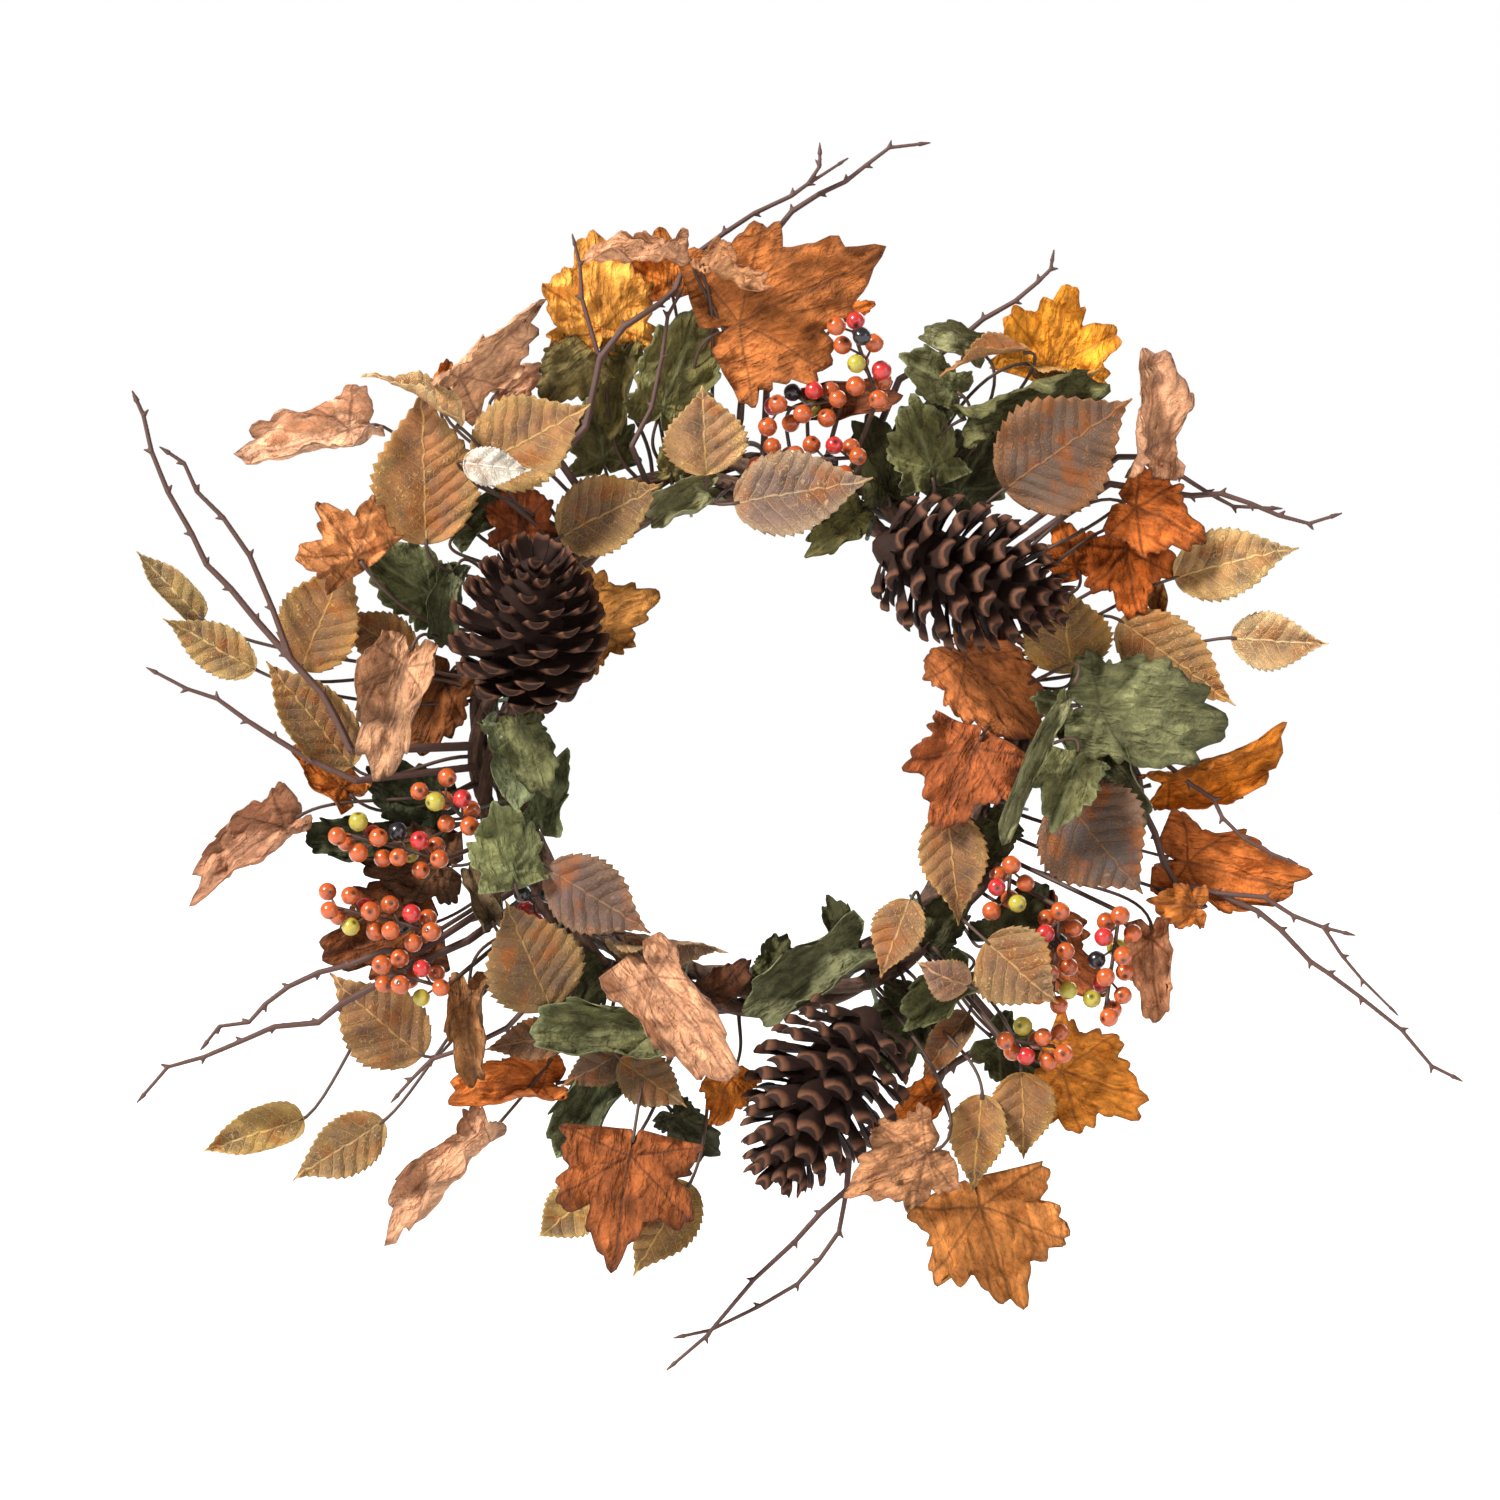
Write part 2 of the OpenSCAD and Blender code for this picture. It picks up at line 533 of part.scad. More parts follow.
module stems_top_left() {
    color("#4a3328") stems(concat(golden_top_left_rows, maple_top_left_rows));
}
module stems_top() {
    color("#4a3328") stems(concat(golden_top_rows, maple_top_rows, green_top_rows));
}
module stems_top_right() {
    color("#4a3328")
    stems(concat(golden_top_right_rows, maple_top_right_rows, green_top_right_rows));
}
module stems_right() {
    color("#4a3328") stems(concat(golden_right_rows, maple_right_rows, green_right_rows));
}
module stems_lower_right() {
    color("#4a3328")
    stems(concat(golden_lower_right_rows, maple_lower_right_rows, green_lower_right_rows));
}
module stems_lower_left() { color("#4a3328") stems(golden_lower_left_rows); }
module stems_bottom() {
    color("#4a3328") stems(concat(golden_bottom_rows, maple_bottom_rows, green_bottom_rows));
}
module stems_left() {
    color("#4a3328") stems(concat(golden_left_rows, maple_left_rows, green_left_rows));
}

module twig_top() { color("#4a3328") twig(twig_top_paths, [0, 2, 4]); }
module twig_upper_right() { color("#4a3328") twig(twig_upper_right_paths, [0, 1]); }
module twig_right_upper() { color("#4a3328") twig(twig_right_upper_paths, [0, 1]); }
module twig_left_upper() { color("#4a3328") twig(twig_left_upper_paths, [0]); }
module twig_left_middle() { color("#4a3328") twig(twig_left_middle_paths, [0]); }
module twig_left_lower() { color("#4a3328") twig(twig_left_lower_paths, [0, 1, 2]); }
module twig_bottom() { color("#4a3328") twig(twig_bottom_paths, [0]); }
module twig_right() { color("#4a3328") twig(twig_right_paths, [1]); }

module orange_berries_top() { color("#c8703a") berries(sprigs_top, 0); }
module orange_berries_left() { color("#c8703a") berries(sprigs_left, 0); }
module orange_berries_right() { color("#c8703a") berries(sprigs_right, 0); }
module red_berries() {
    color("#c2322c") {
        berries(sprigs_top, 1);
        berries(sprigs_left, 1);
        berries(sprigs_right, 1);
        inner_berries(1);
    }
}
module yellow_berries() {
    color("#b8a834") {
        berries(sprigs_top, 2);
        berries(sprigs_left, 2);
        berries(sprigs_right, 2);
    }
}
module black_berries() {
    color("#1c1a1c") {
        berries(sprigs_top, 3);
        berries(sprigs_left, 3);
        berries(sprigs_right, 3);
        inner_berries(3);
    }
}
module berry_stems_top() { color("#4a3328") berry_stems(sprigs_top); }
module berry_stems_left() {
    color("#4a3328") {
        berry_stems(sprigs_left);
        berry_stems(sprigs_inner_left);
    }
}
module berry_stems_right() { color("#4a3328") berry_stems(sprigs_right); }

module pine_cone_left() { color("#5a3a28") pine_cone(cone_left_row); }
module pine_cone_upper_right() { color("#5a3a28") pine_cone(cone_upper_right_row); }
module pine_cone_bottom() { color("#5a3a28") pine_cone(cone_bottom_row); }
module cone_wires() {
    color("#4d5044") placed() {
        cone_wire(cone_left_row);
        cone_wire(cone_upper_right_row);
        cone_wire(cone_bottom_row);
    }
}

wire_frame_ring();
vine_strand_1();
vine_strand_2();
vine_strand_3();
vine_strand_4();
vine_strand_5();
binding_wires();
hanger_staple();
hanger_loop();
golden_leaves_top_left();
golden_leaves_top();
golden_leaves_top_right();
golden_leaves_right();
golden_leaves_lower_right();
golden_leaves_lower_left();
golden_leaves_bottom();
golden_leaves_left();
maple_leaves_top_left();
maple_leaves_top();
maple_leaves_top_right();
maple_leaves_right();
maple_leaves_lower_right();
maple_leaves_bottom();
maple_leaves_left();
green_leaves_top();
green_leaves_top_right();
green_leaves_right();
green_leaves_lower_right();
green_leaves_bottom();
green_leaves_left();
stems_top_left();
stems_top();
stems_top_right();
stems_right();
stems_lower_right();
stems_lower_left();
stems_bottom();
stems_left();
twig_top();
twig_upper_right();
twig_right_upper();
twig_left_upper();
twig_left_middle();
twig_left_lower();
twig_bottom();
twig_right();
orange_berries_top();
orange_berries_left();
orange_berries_right();
red_berries();
yellow_berries();
black_berries();
berry_stems_top();
berry_stems_left();
berry_stems_right();
pine_cone_left();
pine_cone_upper_right();
pine_cone_bottom();
cone_wires();
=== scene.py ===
import bmesh
import bpy
import numpy as np
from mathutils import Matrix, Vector


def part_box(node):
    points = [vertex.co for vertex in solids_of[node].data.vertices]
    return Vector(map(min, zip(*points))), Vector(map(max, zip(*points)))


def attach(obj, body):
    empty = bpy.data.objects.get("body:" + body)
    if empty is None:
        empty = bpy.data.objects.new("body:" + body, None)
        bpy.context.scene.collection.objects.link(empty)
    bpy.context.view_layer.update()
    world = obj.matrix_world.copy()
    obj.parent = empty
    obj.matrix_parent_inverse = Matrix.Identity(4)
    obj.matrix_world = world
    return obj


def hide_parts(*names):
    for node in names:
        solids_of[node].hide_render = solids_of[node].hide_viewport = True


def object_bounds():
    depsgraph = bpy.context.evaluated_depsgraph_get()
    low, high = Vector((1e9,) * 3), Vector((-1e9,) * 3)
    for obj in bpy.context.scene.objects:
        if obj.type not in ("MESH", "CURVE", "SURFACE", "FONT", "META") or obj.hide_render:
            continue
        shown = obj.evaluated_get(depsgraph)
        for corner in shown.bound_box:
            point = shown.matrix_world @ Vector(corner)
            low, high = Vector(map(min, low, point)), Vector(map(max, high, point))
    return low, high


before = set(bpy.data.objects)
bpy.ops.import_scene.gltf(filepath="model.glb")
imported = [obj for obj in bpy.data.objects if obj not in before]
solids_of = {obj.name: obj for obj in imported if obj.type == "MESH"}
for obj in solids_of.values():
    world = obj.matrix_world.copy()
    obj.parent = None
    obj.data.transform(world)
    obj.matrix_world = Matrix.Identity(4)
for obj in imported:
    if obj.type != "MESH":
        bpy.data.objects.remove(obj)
cad_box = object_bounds()
MM = 0.001

# ---------------------------------------------------------------------------
# Wire ring and vine bundle. Five lengths of grapevine are wound as a rope round a ring of
# 3.5 mm drawn steel wire. The vines are grown wood: uneven, ridged and bent at each node.

low, high = (np.array(v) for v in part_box("wire_frame_ring"))
ring_centre = (low + high) / 2
wire_radius = (high[1] - low[1]) / 2
ring_radius = (high[0] - low[0]) / 2 - wire_radius
vine_low, vine_high = (np.array(v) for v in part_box("vine_strand_1"))
vine_thickest = 4 * MM
vine_lay = (vine_high[1] - vine_low[1]) / 2 - vine_thickest
vine_count = 5
rope_turns = 5


def grid_quads(rows, cols, closed_rows=False, closed_cols=True):
    """The quads that join each point of a rows x columns grid to the next row and column. A
    closed direction also joins its last line of points to its first."""
    i = np.arange(rows if closed_rows else rows - 1)
    j = np.arange(cols if closed_cols else cols - 1)
    i, j = (a.ravel() for a in np.meshgrid(i, j, indexing="ij"))
    k, m = (i + 1) % rows, (j + 1) % cols
    return np.stack([i * cols + j, i * cols + m, k * cols + m, k * cols + j], 1)


def skin(name, points, faces, uv=None):
    """A mesh from points and faces. Each face corner takes the UV of its point."""
    mesh = bpy.data.meshes.new(name)
    mesh.from_pydata(points.tolist(), [], faces)
    mesh.update()
    if uv is not None:
        layer = mesh.uv_layers.new(name="UVMap")
        corner = np.empty(len(mesh.loops), dtype=np.int32)
        mesh.loops.foreach_get("vertex_index", corner)
        layer.data.foreach_set("uv", uv[corner].astype(np.float32).ravel())
    return mesh


def piece(name, mesh, material, slot, *cad, body="wreath"):
    """Puts a finished mesh in the scene with smooth shading, riding on its body."""
    obj = bpy.data.objects.new(name, mesh)
    bpy.context.scene.collection.objects.link(obj)
    mesh.materials.append(material)
    mesh.shade_smooth()
    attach(obj, body)
    if cad:
        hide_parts(*cad)
    return obj


def tone(code):
    """An sRGB hex colour as linear red, green, blue and full alpha."""
    c = np.array([int(code[k : k + 2], 16) for k in (0, 2, 4)]) / 255
    lin = np.where(c <= 0.04045, c / 12.92, ((c + 0.055) / 1.055) ** 2.4)
    return (*lin.tolist(), 1.0)


def add(tree, kind, sockets=None, **settings):
    """Adds one shader node, sets it up, and sets or links each named or numbered socket."""
    node = tree.nodes.new("ShaderNode" + kind)
    for key, value in settings.items():
        setattr(node, key, value)
    for key, value in (sockets or {}).items():
        if isinstance(value, bpy.types.NodeSocket):
            tree.links.new(value, node.inputs[key])
        else:
            node.inputs[key].default_value = value
    return node


def surface(name, **sockets):
    """A new material with one Principled shader, and the shader's fixed settings."""
    mat = bpy.data.materials.new(name)
    mat.use_nodes = True
    shader = mat.node_tree.nodes["Principled BSDF"]
    for key, value in sockets.items():
        shader.inputs[key.replace("_", " ")].default_value = value
    return mat, mat.node_tree, shader


# Grapevine bark: rough dark brown, with pale stringy ridges that run along the vine.
vine_bark, t, shader = surface("grapevine_bark", Roughness=0.82)
uv = add(t, "UVMap", uv_map="UVMap").outputs[0]
fibre = add(t, "Mapping", {0: uv, 3: (3.0, 1.0, 1.0)})
strings = add(t, "TexNoise", {0: fibre.outputs[0], "Scale": 14.0, "Detail": 5.0, "Roughness": 0.7})
place = add(t, "TexCoord").outputs["Object"]
patches = add(t, "TexNoise", {0: place, "Scale": 45.0, "Detail": 3.0})
ridge = add(t, "MapRange", {0: strings.outputs[0], 1: 0.36, 2: 0.64, 3: 0.0, 4: 1.0}).outputs[0]
patch = add(t, "MapRange", {0: patches.outputs[0], 1: 0.4, 2: 0.7, 3: 0.0, 4: 0.7}).outputs[0]
bark = add(t, "Mix", {0: ridge, 6: tone("24160F"), 7: tone("86624A")}, data_type="RGBA")
bark = add(t, "Mix", {0: patch, 6: bark.outputs[2], 7: tone("4A3024")}, data_type="RGBA")
t.links.new(bark.outputs[2], shader.inputs["Base Color"])
relief = add(t, "Bump", {"Height": strings.outputs[0], "Strength": 1.0, "Distance": 2.0 * MM})
t.links.new(relief.outputs[0], shader.inputs["Normal"])

# A vine is a tube along the rope path: its offset from the ring's own circle turns five times
# on the way round, while its radius and offset waver slowly and its section has low ridges.
rows, cols = 260, 16
a = np.linspace(0, 2 * np.pi, rows, endpoint=False)[:, None]
c = np.linspace(0, 2 * np.pi, cols, endpoint=False)[None, :]
for k in range(vine_count):
    rng = np.random.default_rng(40 + k)
    phase = np.radians(360 / vine_count * k)
    waver = sum(
        rng.uniform(-0.35, 0.35) * np.sin(n * a + rng.uniform(0, 6.3)) for n in (3, 7, 11, 17)
    )
    lay = vine_lay + 0.7 * MM * waver
    turn = rope_turns * a + phase
    r = ring_radius + lay * np.cos(turn)
    y = lay * np.sin(turn)
    knots = 1 + 0.16 * np.exp(-(((a * 14 / np.pi + k) % 2 - 1) ** 2) / 0.01)
    thick = (3.7 + 0.25 * waver) * MM * knots
    thick = thick * (1 + 0.05 * np.sin(5 * c + 3 * a) + 0.03 * np.sin(9 * c - 7 * a))
    rad = r + thick * np.cos(c)
    tube = np.stack([rad * np.cos(a), y + thick * np.sin(c), rad * np.sin(a)], -1) + ring_centre
    uvs = np.stack(np.broadcast_arrays(c / (2 * np.pi) * 0.25, a / (2 * np.pi) * 8), -1)
    faces = grid_quads(rows, cols, closed_rows=True).tolist()
    mesh = skin(f"vine_{k + 1}", tube.reshape(-1, 3), faces, uvs.reshape(-1, 2))
    piece(f"vine_{k + 1}", mesh, vine_bark, "grapevine", f"vine_strand_{k + 1}")


def wire_finish(name, bright, dull, metallic, rough):
    """Drawn steel wire, bare or enamelled: two close tones in a noise of 4 mm and finer
    stand for tarnish, with a relief too shallow to show as marks."""
    mat, tree, shader = surface(name, Metallic=metallic, Roughness=rough)
    where = add(tree, "TexCoord").outputs["Object"]
    fine = add(tree, "TexNoise", {0: where, "Scale": 260.0, "Detail": 4.0})
    mix = add(tree, "Mix", {0: fine.outputs[0], 6: tone(dull), 7: tone(bright)}, data_type="RGBA")
    tree.links.new(mix.outputs[2], shader.inputs["Base Color"])
    bump = add(tree, "Bump", {"Height": fine.outputs[0], "Strength": 0.25, "Distance": 0.1 * MM})
    tree.links.new(bump.outputs[0], shader.inputs["Normal"])
    return mat


frame_steel = wire_finish("drawn_steel_wire", "8B8780", "5E5A54", 1.0, 0.42)
hanger_steel = wire_finish("plain_hanger_wire", "A8A49C", "77736C", 1.0, 0.36)
florist_enamel = wire_finish("green_enamelled_wire", "5A6350", "3C4435", 0.0, 0.45)
for name, mat in (
    ("wire_frame_ring", frame_steel),
    ("hanger_staple", hanger_steel),
    ("hanger_loop", hanger_steel),
    ("binding_wires", florist_enamel),
    ("cone_wires", florist_enamel),
):
    solids_of[name].material_slots[0].material = mat

# ---------------------------------------------------------------------------
# Golden leaves. Ovate leaves of printed polyester cloth with cut, toothed edges: a brown or
# grey ground with a network of yellow veins, heat-set so that each side lifts off the midrib.


leaf_wall = 1.2 * MM  # of the leaves in the CAD
cloth_wall = 0.35 * MM  # of the cloth that shows
uv_unit = 0.1  # metres to a unit of a leaf's UVs
vein_step = 7.5 * MM  # along the midrib, from one side vein to the next
vein_lean = 0.75  # how far a side vein runs along the leaf for each step across


def solids(name):
    """The closed solids of a CAD node, each as its points: corners that coincide are one
    point, and the smallest label spreads over joined triangles until nothing changes."""
    weld = 0.01 * MM
    mesh = solids_of[name].data
    mesh.calc_loop_triangles()
    co = np.empty(len(mesh.vertices) * 3)
    mesh.vertices.foreach_get("co", co)
    co = co.reshape(-1, 3)
    tri = np.empty(len(mesh.loop_triangles) * 3, dtype=np.int32)
    mesh.loop_triangles.foreach_get("vertices", tri)
    snapped = np.round(co / weld)
    _, first, same = np.unique(snapped, axis=0, return_index=True, return_inverse=True)
    points, tri = co[first], same.ravel()[tri.reshape(-1, 3)]
    label = np.arange(len(points))
    while True:
        spread = label.copy()
        np.minimum.at(spread, tri.ravel(), np.repeat(label[tri].min(1), 3))
        if (spread == label).all():
            break
        label = spread
    return [points[label == v] for v in np.unique(label[tri.ravel()])]


def leaf_plan(points):
    """Reads a leaf's plan from its CAD solid. Its midrib shows as pairs of points one leaf
    thickness apart; the pairs give the normal, the ends of the midrib the axis, and the
    stations crowd toward the base. The normal points the way that
    the sides rise."""
    gap = np.linalg.norm(points[:, None] - points[None], axis=2)
    i, j = np.where(np.triu(np.abs(gap - leaf_wall) < 0.02 * MM, 1))
    way = (points[i] - points[j]) / leaf_wall
    agree = np.abs(way @ way.T) > 0.995
    keep = agree[agree.sum(1).argmax()]
    normal = way[keep][0]
    mids = (points[i] + points[j])[keep] / 2
    flat = mids - np.outer(mids @ normal, normal)
    span = np.linalg.norm(flat[:, None] - flat[None], axis=2)
    p, q = np.unravel_index(span.argmax(), span.shape)
    axis = (flat[q] - flat[p]) / span[p, q]
    along = (flat - flat[p]) @ axis / span[p, q]
    if along.mean() > 0.5:
        p, q, axis = q, p, -axis
    rims = np.setdiff1d(np.arange(len(points)), np.concatenate([i[keep], j[keep]]))
    if (points[rims] @ normal).mean() < (mids @ normal).mean():
        normal = -normal
    length = span.max()
    axis = (mids[q] - mids[p]) / np.linalg.norm(mids[q] - mids[p])
    side = np.cross(axis, normal)
    half = np.abs((points[rims] - mids[p]) @ side).max()
    ways = {"axis": axis, "normal": normal, "side": side}
    return {"base": mids[p], "length": length, "half": half, **ways}


def in_order(name):
    """The plans of a node's leaves, from the leftmost base to the rightmost. Where two bases
    are in line, the lower one comes first."""
    plans = [leaf_plan(p) for p in solids(name)]
    return sorted(plans, key=lambda d: d["base"][0] + 0.001 * d["base"][2])


def waves(x, y, rng, count, shortest, longest):
    """Soft crumple: a sum of sine waves of random direction and phase, with wavelengths
    from shortest to longest, scaled to stay near plus or minus one."""
    total = np.zeros_like(x)
    for _ in range(count):
        way, phase = rng.uniform(0, np.pi), rng.uniform(0, 2 * np.pi)
        length = np.exp(rng.uniform(np.log(shortest), np.log(longest)))
        total += np.sin(2 * np.pi * (x * np.cos(way) + y * np.sin(way)) / length + phase)
    return total / np.sqrt(count)


def roll_sides(x, half, flat_half):
    """Rolls a wide leaf up about its midrib until it is only as wide as its plan. The width
    becomes an arc of the same length; the arc's angle solves sin(a) / a = half / flat_half."""
    angle = np.linspace(0.05, 2.9, 200)
    a = np.interp(-half / flat_half, -np.sin(angle) / angle, angle)
    radius = flat_half / a
    return radius * np.sin(x / radius), radius * (1 - np.cos(x / radius))


def lay_leaf(plan, x, y, z):
    """Takes leaf coordinates (across, along, forward) to the plan's place."""
    return (
        plan["base"]
        + x[..., None] * plan["side"]
        + y[..., None] * plan["axis"]
        + z[..., None] * plan["normal"]
    )


def ovate_leaf(plan, rng):
    """A toothed ovate leaf on a rows x columns grid: its points, its UVs, and how near each
    point is to the edge. The half width is a sine of the length to a rising power, plus
    forward-leaning teeth. The height is a fold at the midrib, a bow, quilting between the
    side veins, soft waves toward the edge, and a tip that curls up or down."""
    rows, cols, teeth = 91, 21, 15
    s = np.linspace(0, 1, rows)[:, None]
    v = np.linspace(-1, 1, cols)[None, :]
    length, half = plan["length"], plan["half"]
    flat_half = half if half > 0.24 * length else min(0.3 * length, 1.6 * half)
    width = np.sin(np.pi * s**0.72) ** (0.68 + 0.8 * s) * flat_half
    tooth = ((s * teeth) % 1.0 - 0.35) * np.sin(np.pi * s) ** 0.5 * 0.11 * flat_half
    x = v * (width + tooth * np.abs(v) ** 6) + 0.02 * half * np.sin(5 * s) * (1 - v**2)
    y = s * length + 0 * v
    side_vein = y - vein_lean * np.abs(x)
    z = np.sqrt(x**2 + (1 * MM) ** 2) * 0.14 + 3 * MM * 4 * s * (1 - s)
    z = z + 0.9 * MM * np.abs(np.sin(np.pi * side_vein / vein_step)) * np.abs(v) ** 0.5
    z = z + waves(x, y, rng, 6, 18 * MM, 60 * MM) * 1.9 * MM * (np.abs(v) + 0.15)
    z = z + (rng.uniform(-7, 9) * MM) * np.clip(s - 0.65, 0, 1) ** 2 / 0.12
    u = np.stack([x, y], -1) / uv_unit
    if flat_half > half:
        x, lift = roll_sides(x, half, flat_half)
        z = z + lift
    edge = np.maximum(np.abs(v) ** 2.5, np.abs(2 * s - 1) ** 5)
    return lay_leaf(plan, x, y, z), u, edge


def leaf_spray(cad, shape, material, slot, grounds, veins, seed, polar=False):
    """One piece from all the leaves of a spray: every leaf is a grid on its own plan, with
    its ground and vein colours stored on its points, and in the ground's alpha how near the
    point is to the edge; a thin wall is then given to all. A polar grid's rings are closed."""
    points, quads, uvs, ground, vein, start = [], [], [], [], [], 0
    for k, plan in enumerate(in_order(cad)):
        rng = np.random.default_rng(seed * 100 + k)
        grid, u, edge = shape(plan, rng)
        rows, cols = grid.shape[:2]
        leaf = grid_quads(rows, cols, closed_cols=polar)
        quads.append((leaf[:, ::-1] if polar else leaf) + start)
        points.append(grid.reshape(-1, 3))
        uvs.append(u.reshape(-1, 2))
        ground.append(np.tile(tone(grounds[k % len(grounds)]), (rows * cols, 1)))
        ground[-1][:, 3] = edge.ravel()
        vein.append(np.tile(tone(veins[k % len(veins)]), (rows * cols, 1)))
        start += rows * cols
    faces = np.concatenate(quads).tolist()
    mesh = skin(cad + "_cloth", np.concatenate(points), faces, np.concatenate(uvs))
    for label, colours in (("ground", ground), ("vein", vein)):
        layer = mesh.color_attributes.new(label, "FLOAT_COLOR", "POINT")
        layer.data.foreach_set("color", np.concatenate(colours).astype(np.float32).ravel())
    obj = piece(cad + "_cloth", mesh, material, slot, cad)
    wall = obj.modifiers.new("cloth_thickness", "SOLIDIFY")
    wall.thickness = cloth_wall
    wall.offset = 0


# Printed polyester leaf cloth: matt, with yellow veins printed and pressed into it. The
# veins are a midrib, side veins every 7.5 mm, and a net of cells about 2 mm across. Between
# the side veins the cloth swells. Random grey-brown patches are partly the cloth's own tone
# and partly painted shade, and rust blotches show where it has aged.
printed_cloth, t, shader = surface(
    "printed_polyester_leaf_cloth", Roughness=0.8, Specular_IOR_Level=0.16
)
uv = add(t, "UVMap", uv_map="UVMap").outputs[0]
bend = add(t, "TexNoise", {0: uv, "Scale": 9.0, "Detail": 2.0})
shift = add(t, "VectorMath", {0: bend.outputs["Color"], 1: (0.5, 0.5, 0.5)}, operation="SUBTRACT")
bent = {0: shift.outputs[0], 1: (0.05, 0.05, 0.0), 2: uv}
bent = add(t, "VectorMath", bent, operation="MULTIPLY_ADD").outputs[0]
xy = add(t, "SeparateXYZ", {0: bent})
beside = add(t, "Math", {0: xy.outputs[0]}, operation="ABSOLUTE").outputs[0]
rib = add(t, "MapRange", {0: beside, 1: 0.002, 2: 0.008, 3: 0.6, 4: 0.0}).outputs[0]
lean = {0: beside, 1: -vein_lean, 2: xy.outputs[1]}
lean = add(t, "Math", lean, operation="MULTIPLY_ADD").outputs[0]
lean = add(t, "Math", {0: lean, 1: uv_unit / vein_step}, operation="MULTIPLY").outputs[0]
near = add(t, "Math", {0: lean, 1: 0.5}, operation="PINGPONG").outputs[0]
side = add(t, "MapRange", {0: near, 1: 0.006, 2: 0.05, 3: 0.55, 4: 0.0}).outputs[0]
cells = add(t, "TexVoronoi", {0: bent, "Scale": 48.0}, feature="DISTANCE_TO_EDGE")
net = add(t, "MapRange", {0: cells.outputs[0], 1: 0.01, 2: 0.09, 3: 0.75, 4: 0.0}).outputs[0]
place = add(t, "TexCoord").outputs["Object"]
wear = add(t, "TexNoise", {0: place, "Scale": 42.0, "Detail": 4.0})
worn = add(t, "MapRange", {0: wear.outputs[0], 1: 0.38, 2: 0.66, 3: 0.25, 4: 1.0}).outputs[0]
net = add(t, "Math", {0: net, 1: worn}, operation="MULTIPLY").outputs[0]
printed = add(t, "Math", {0: side, 1: net}, operation="MAXIMUM").outputs[0]
printed = add(t, "Math", {0: rib, 1: printed}, operation="MAXIMUM").outputs[0]
ground = add(t, "Attribute", attribute_name="ground")
rim = ground.outputs["Alpha"]
ground = ground.outputs["Color"]
veins = add(t, "Attribute", attribute_name="vein").outputs["Color"]
# Random patches darkened toward grey-brown: partly the cloth's own tone, partly painted shade.
shade = add(t, "TexNoise", {0: place, "Scale": 90.0, "Detail": 4.0})
dark = add(t, "MapRange", {0: shade.outputs[0], 1: 0.35, 2: 0.62, 3: 0.8, 4: 0.0}).outputs[0]
ground = add(t, "Mix", {0: dark, 6: ground, 7: tone("5A463C")}, data_type="RGBA").outputs[2]
spots = add(t, "TexNoise", {0: place, "Scale": 62.0, "Detail": 4.0, "Roughness": 0.6})
rusty = add(t, "MapRange", {0: spots.outputs[0], 1: 0.5, 2: 0.64, 3: 0.0, 4: 0.75}).outputs[0]
ground = add(t, "Mix", {0: rusty, 6: ground, 7: tone("8A4A1E")}, data_type="RGBA").outputs[2]
rim = add(t, "Math", {0: wear.outputs[0], 1: 0.9, 2: rim}, operation="MULTIPLY_ADD").outputs[0]
edge = add(t, "MapRange", {0: rim, 1: 0.6, 2: 1.3, 3: 0.0, 4: 0.35}).outputs[0]
ground = add(t, "Mix", {0: edge, 6: ground, 7: veins}, data_type="RGBA").outputs[2]
cloth = add(t, "Mix", {0: printed, 6: ground, 7: veins}, data_type="RGBA")
t.links.new(cloth.outputs[2], shader.inputs["Base Color"])
thread = add(t, "TexNoise", {0: place, "Scale": 1400.0, "Detail": 2.0})
height = add(t, "Math", {0: thread.outputs[0], 1: 0.2, 2: printed}, operation="MULTIPLY_ADD")
pillow = add(t, "Math", {0: near, 1: 0.32}, operation="POWER").outputs[0]
height = add(t, "Math", {0: pillow, 1: 2.6, 2: height.outputs[0]}, operation="MULTIPLY_ADD")
relief = add(t, "Bump", {"Height": height.outputs[0], "Strength": 1.0, "Distance": 0.7 * MM})
t.links.new(relief.outputs[0], shader.inputs["Normal"])

# Each spray's ground colours, then its vein colours, one of each a leaf from the left.
golden_sprays = {
    "golden_leaves_top_left": (
        "AA7048 C0905F F0E2CC A2724A 7E5C42",
        "D6A85E E4C48C F8F0DE D0AC66 CAA25E",
    ),
    "golden_leaves_top": (
        "B0805A 7C6258",
        "DCB472 C4A478",
    ),
    "golden_leaves_top_right": (
        "645448 AE7440 A4724A 92683E 966C44 B48654 C29666",
        "A86E3C D8AC60 CA9458 CEA250 D0A260 E6C684 ECCE96",
    ),
    "golden_leaves_right": (
        "8A6044 885E40 805848 7C583E 524A46",
        "CC9F62 C89A58 C2986A C8A066 8E6038",
    ),
    "golden_leaves_lower_right": (
        "62483A 966640 885E3E",
        "AC804C D2A65C C89850",
    ),
    "golden_leaves_lower_left": (
        "A28048 886840 865E40 624E48 6E5238 6C4C36",
        "DCBA76 D2A86C C4985C 94704E A8844C 9C7044",
    ),
    "golden_leaves_bottom": (
        "A07E46 725840 604832 84644E 604636 966E44",
        "D8B26C BC9C6C 987848 C8A47C 927450 D2AC62",
    ),
    "golden_leaves_left": (
        "A68A56 9A7648 865E40 8A6440 7A5640",
        "DEC086 D6B474 C4964C C49A54 B8904E",
    ),
}
for k, (name, (grounds, veins)) in enumerate(golden_sprays.items()):
    tones = grounds.split(), veins.split()
    leaf_spray(name, ovate_leaf, printed_cloth, "golden_leaf", *tones, 10 + k)

# ---------------------------------------------------------------------------
# Maple leaves. Lobed leaves of dyed cotton cloth, heat-set crumpled like dry leaves, from
# bright orange to rust and pinkish tan, with dark veins that meet at the stem.


outer_vein, base_vein = 0.92, 1.85  # radians from the midrib
fine_vein_step = 8.5 * MM
most_lump = 6 * MM


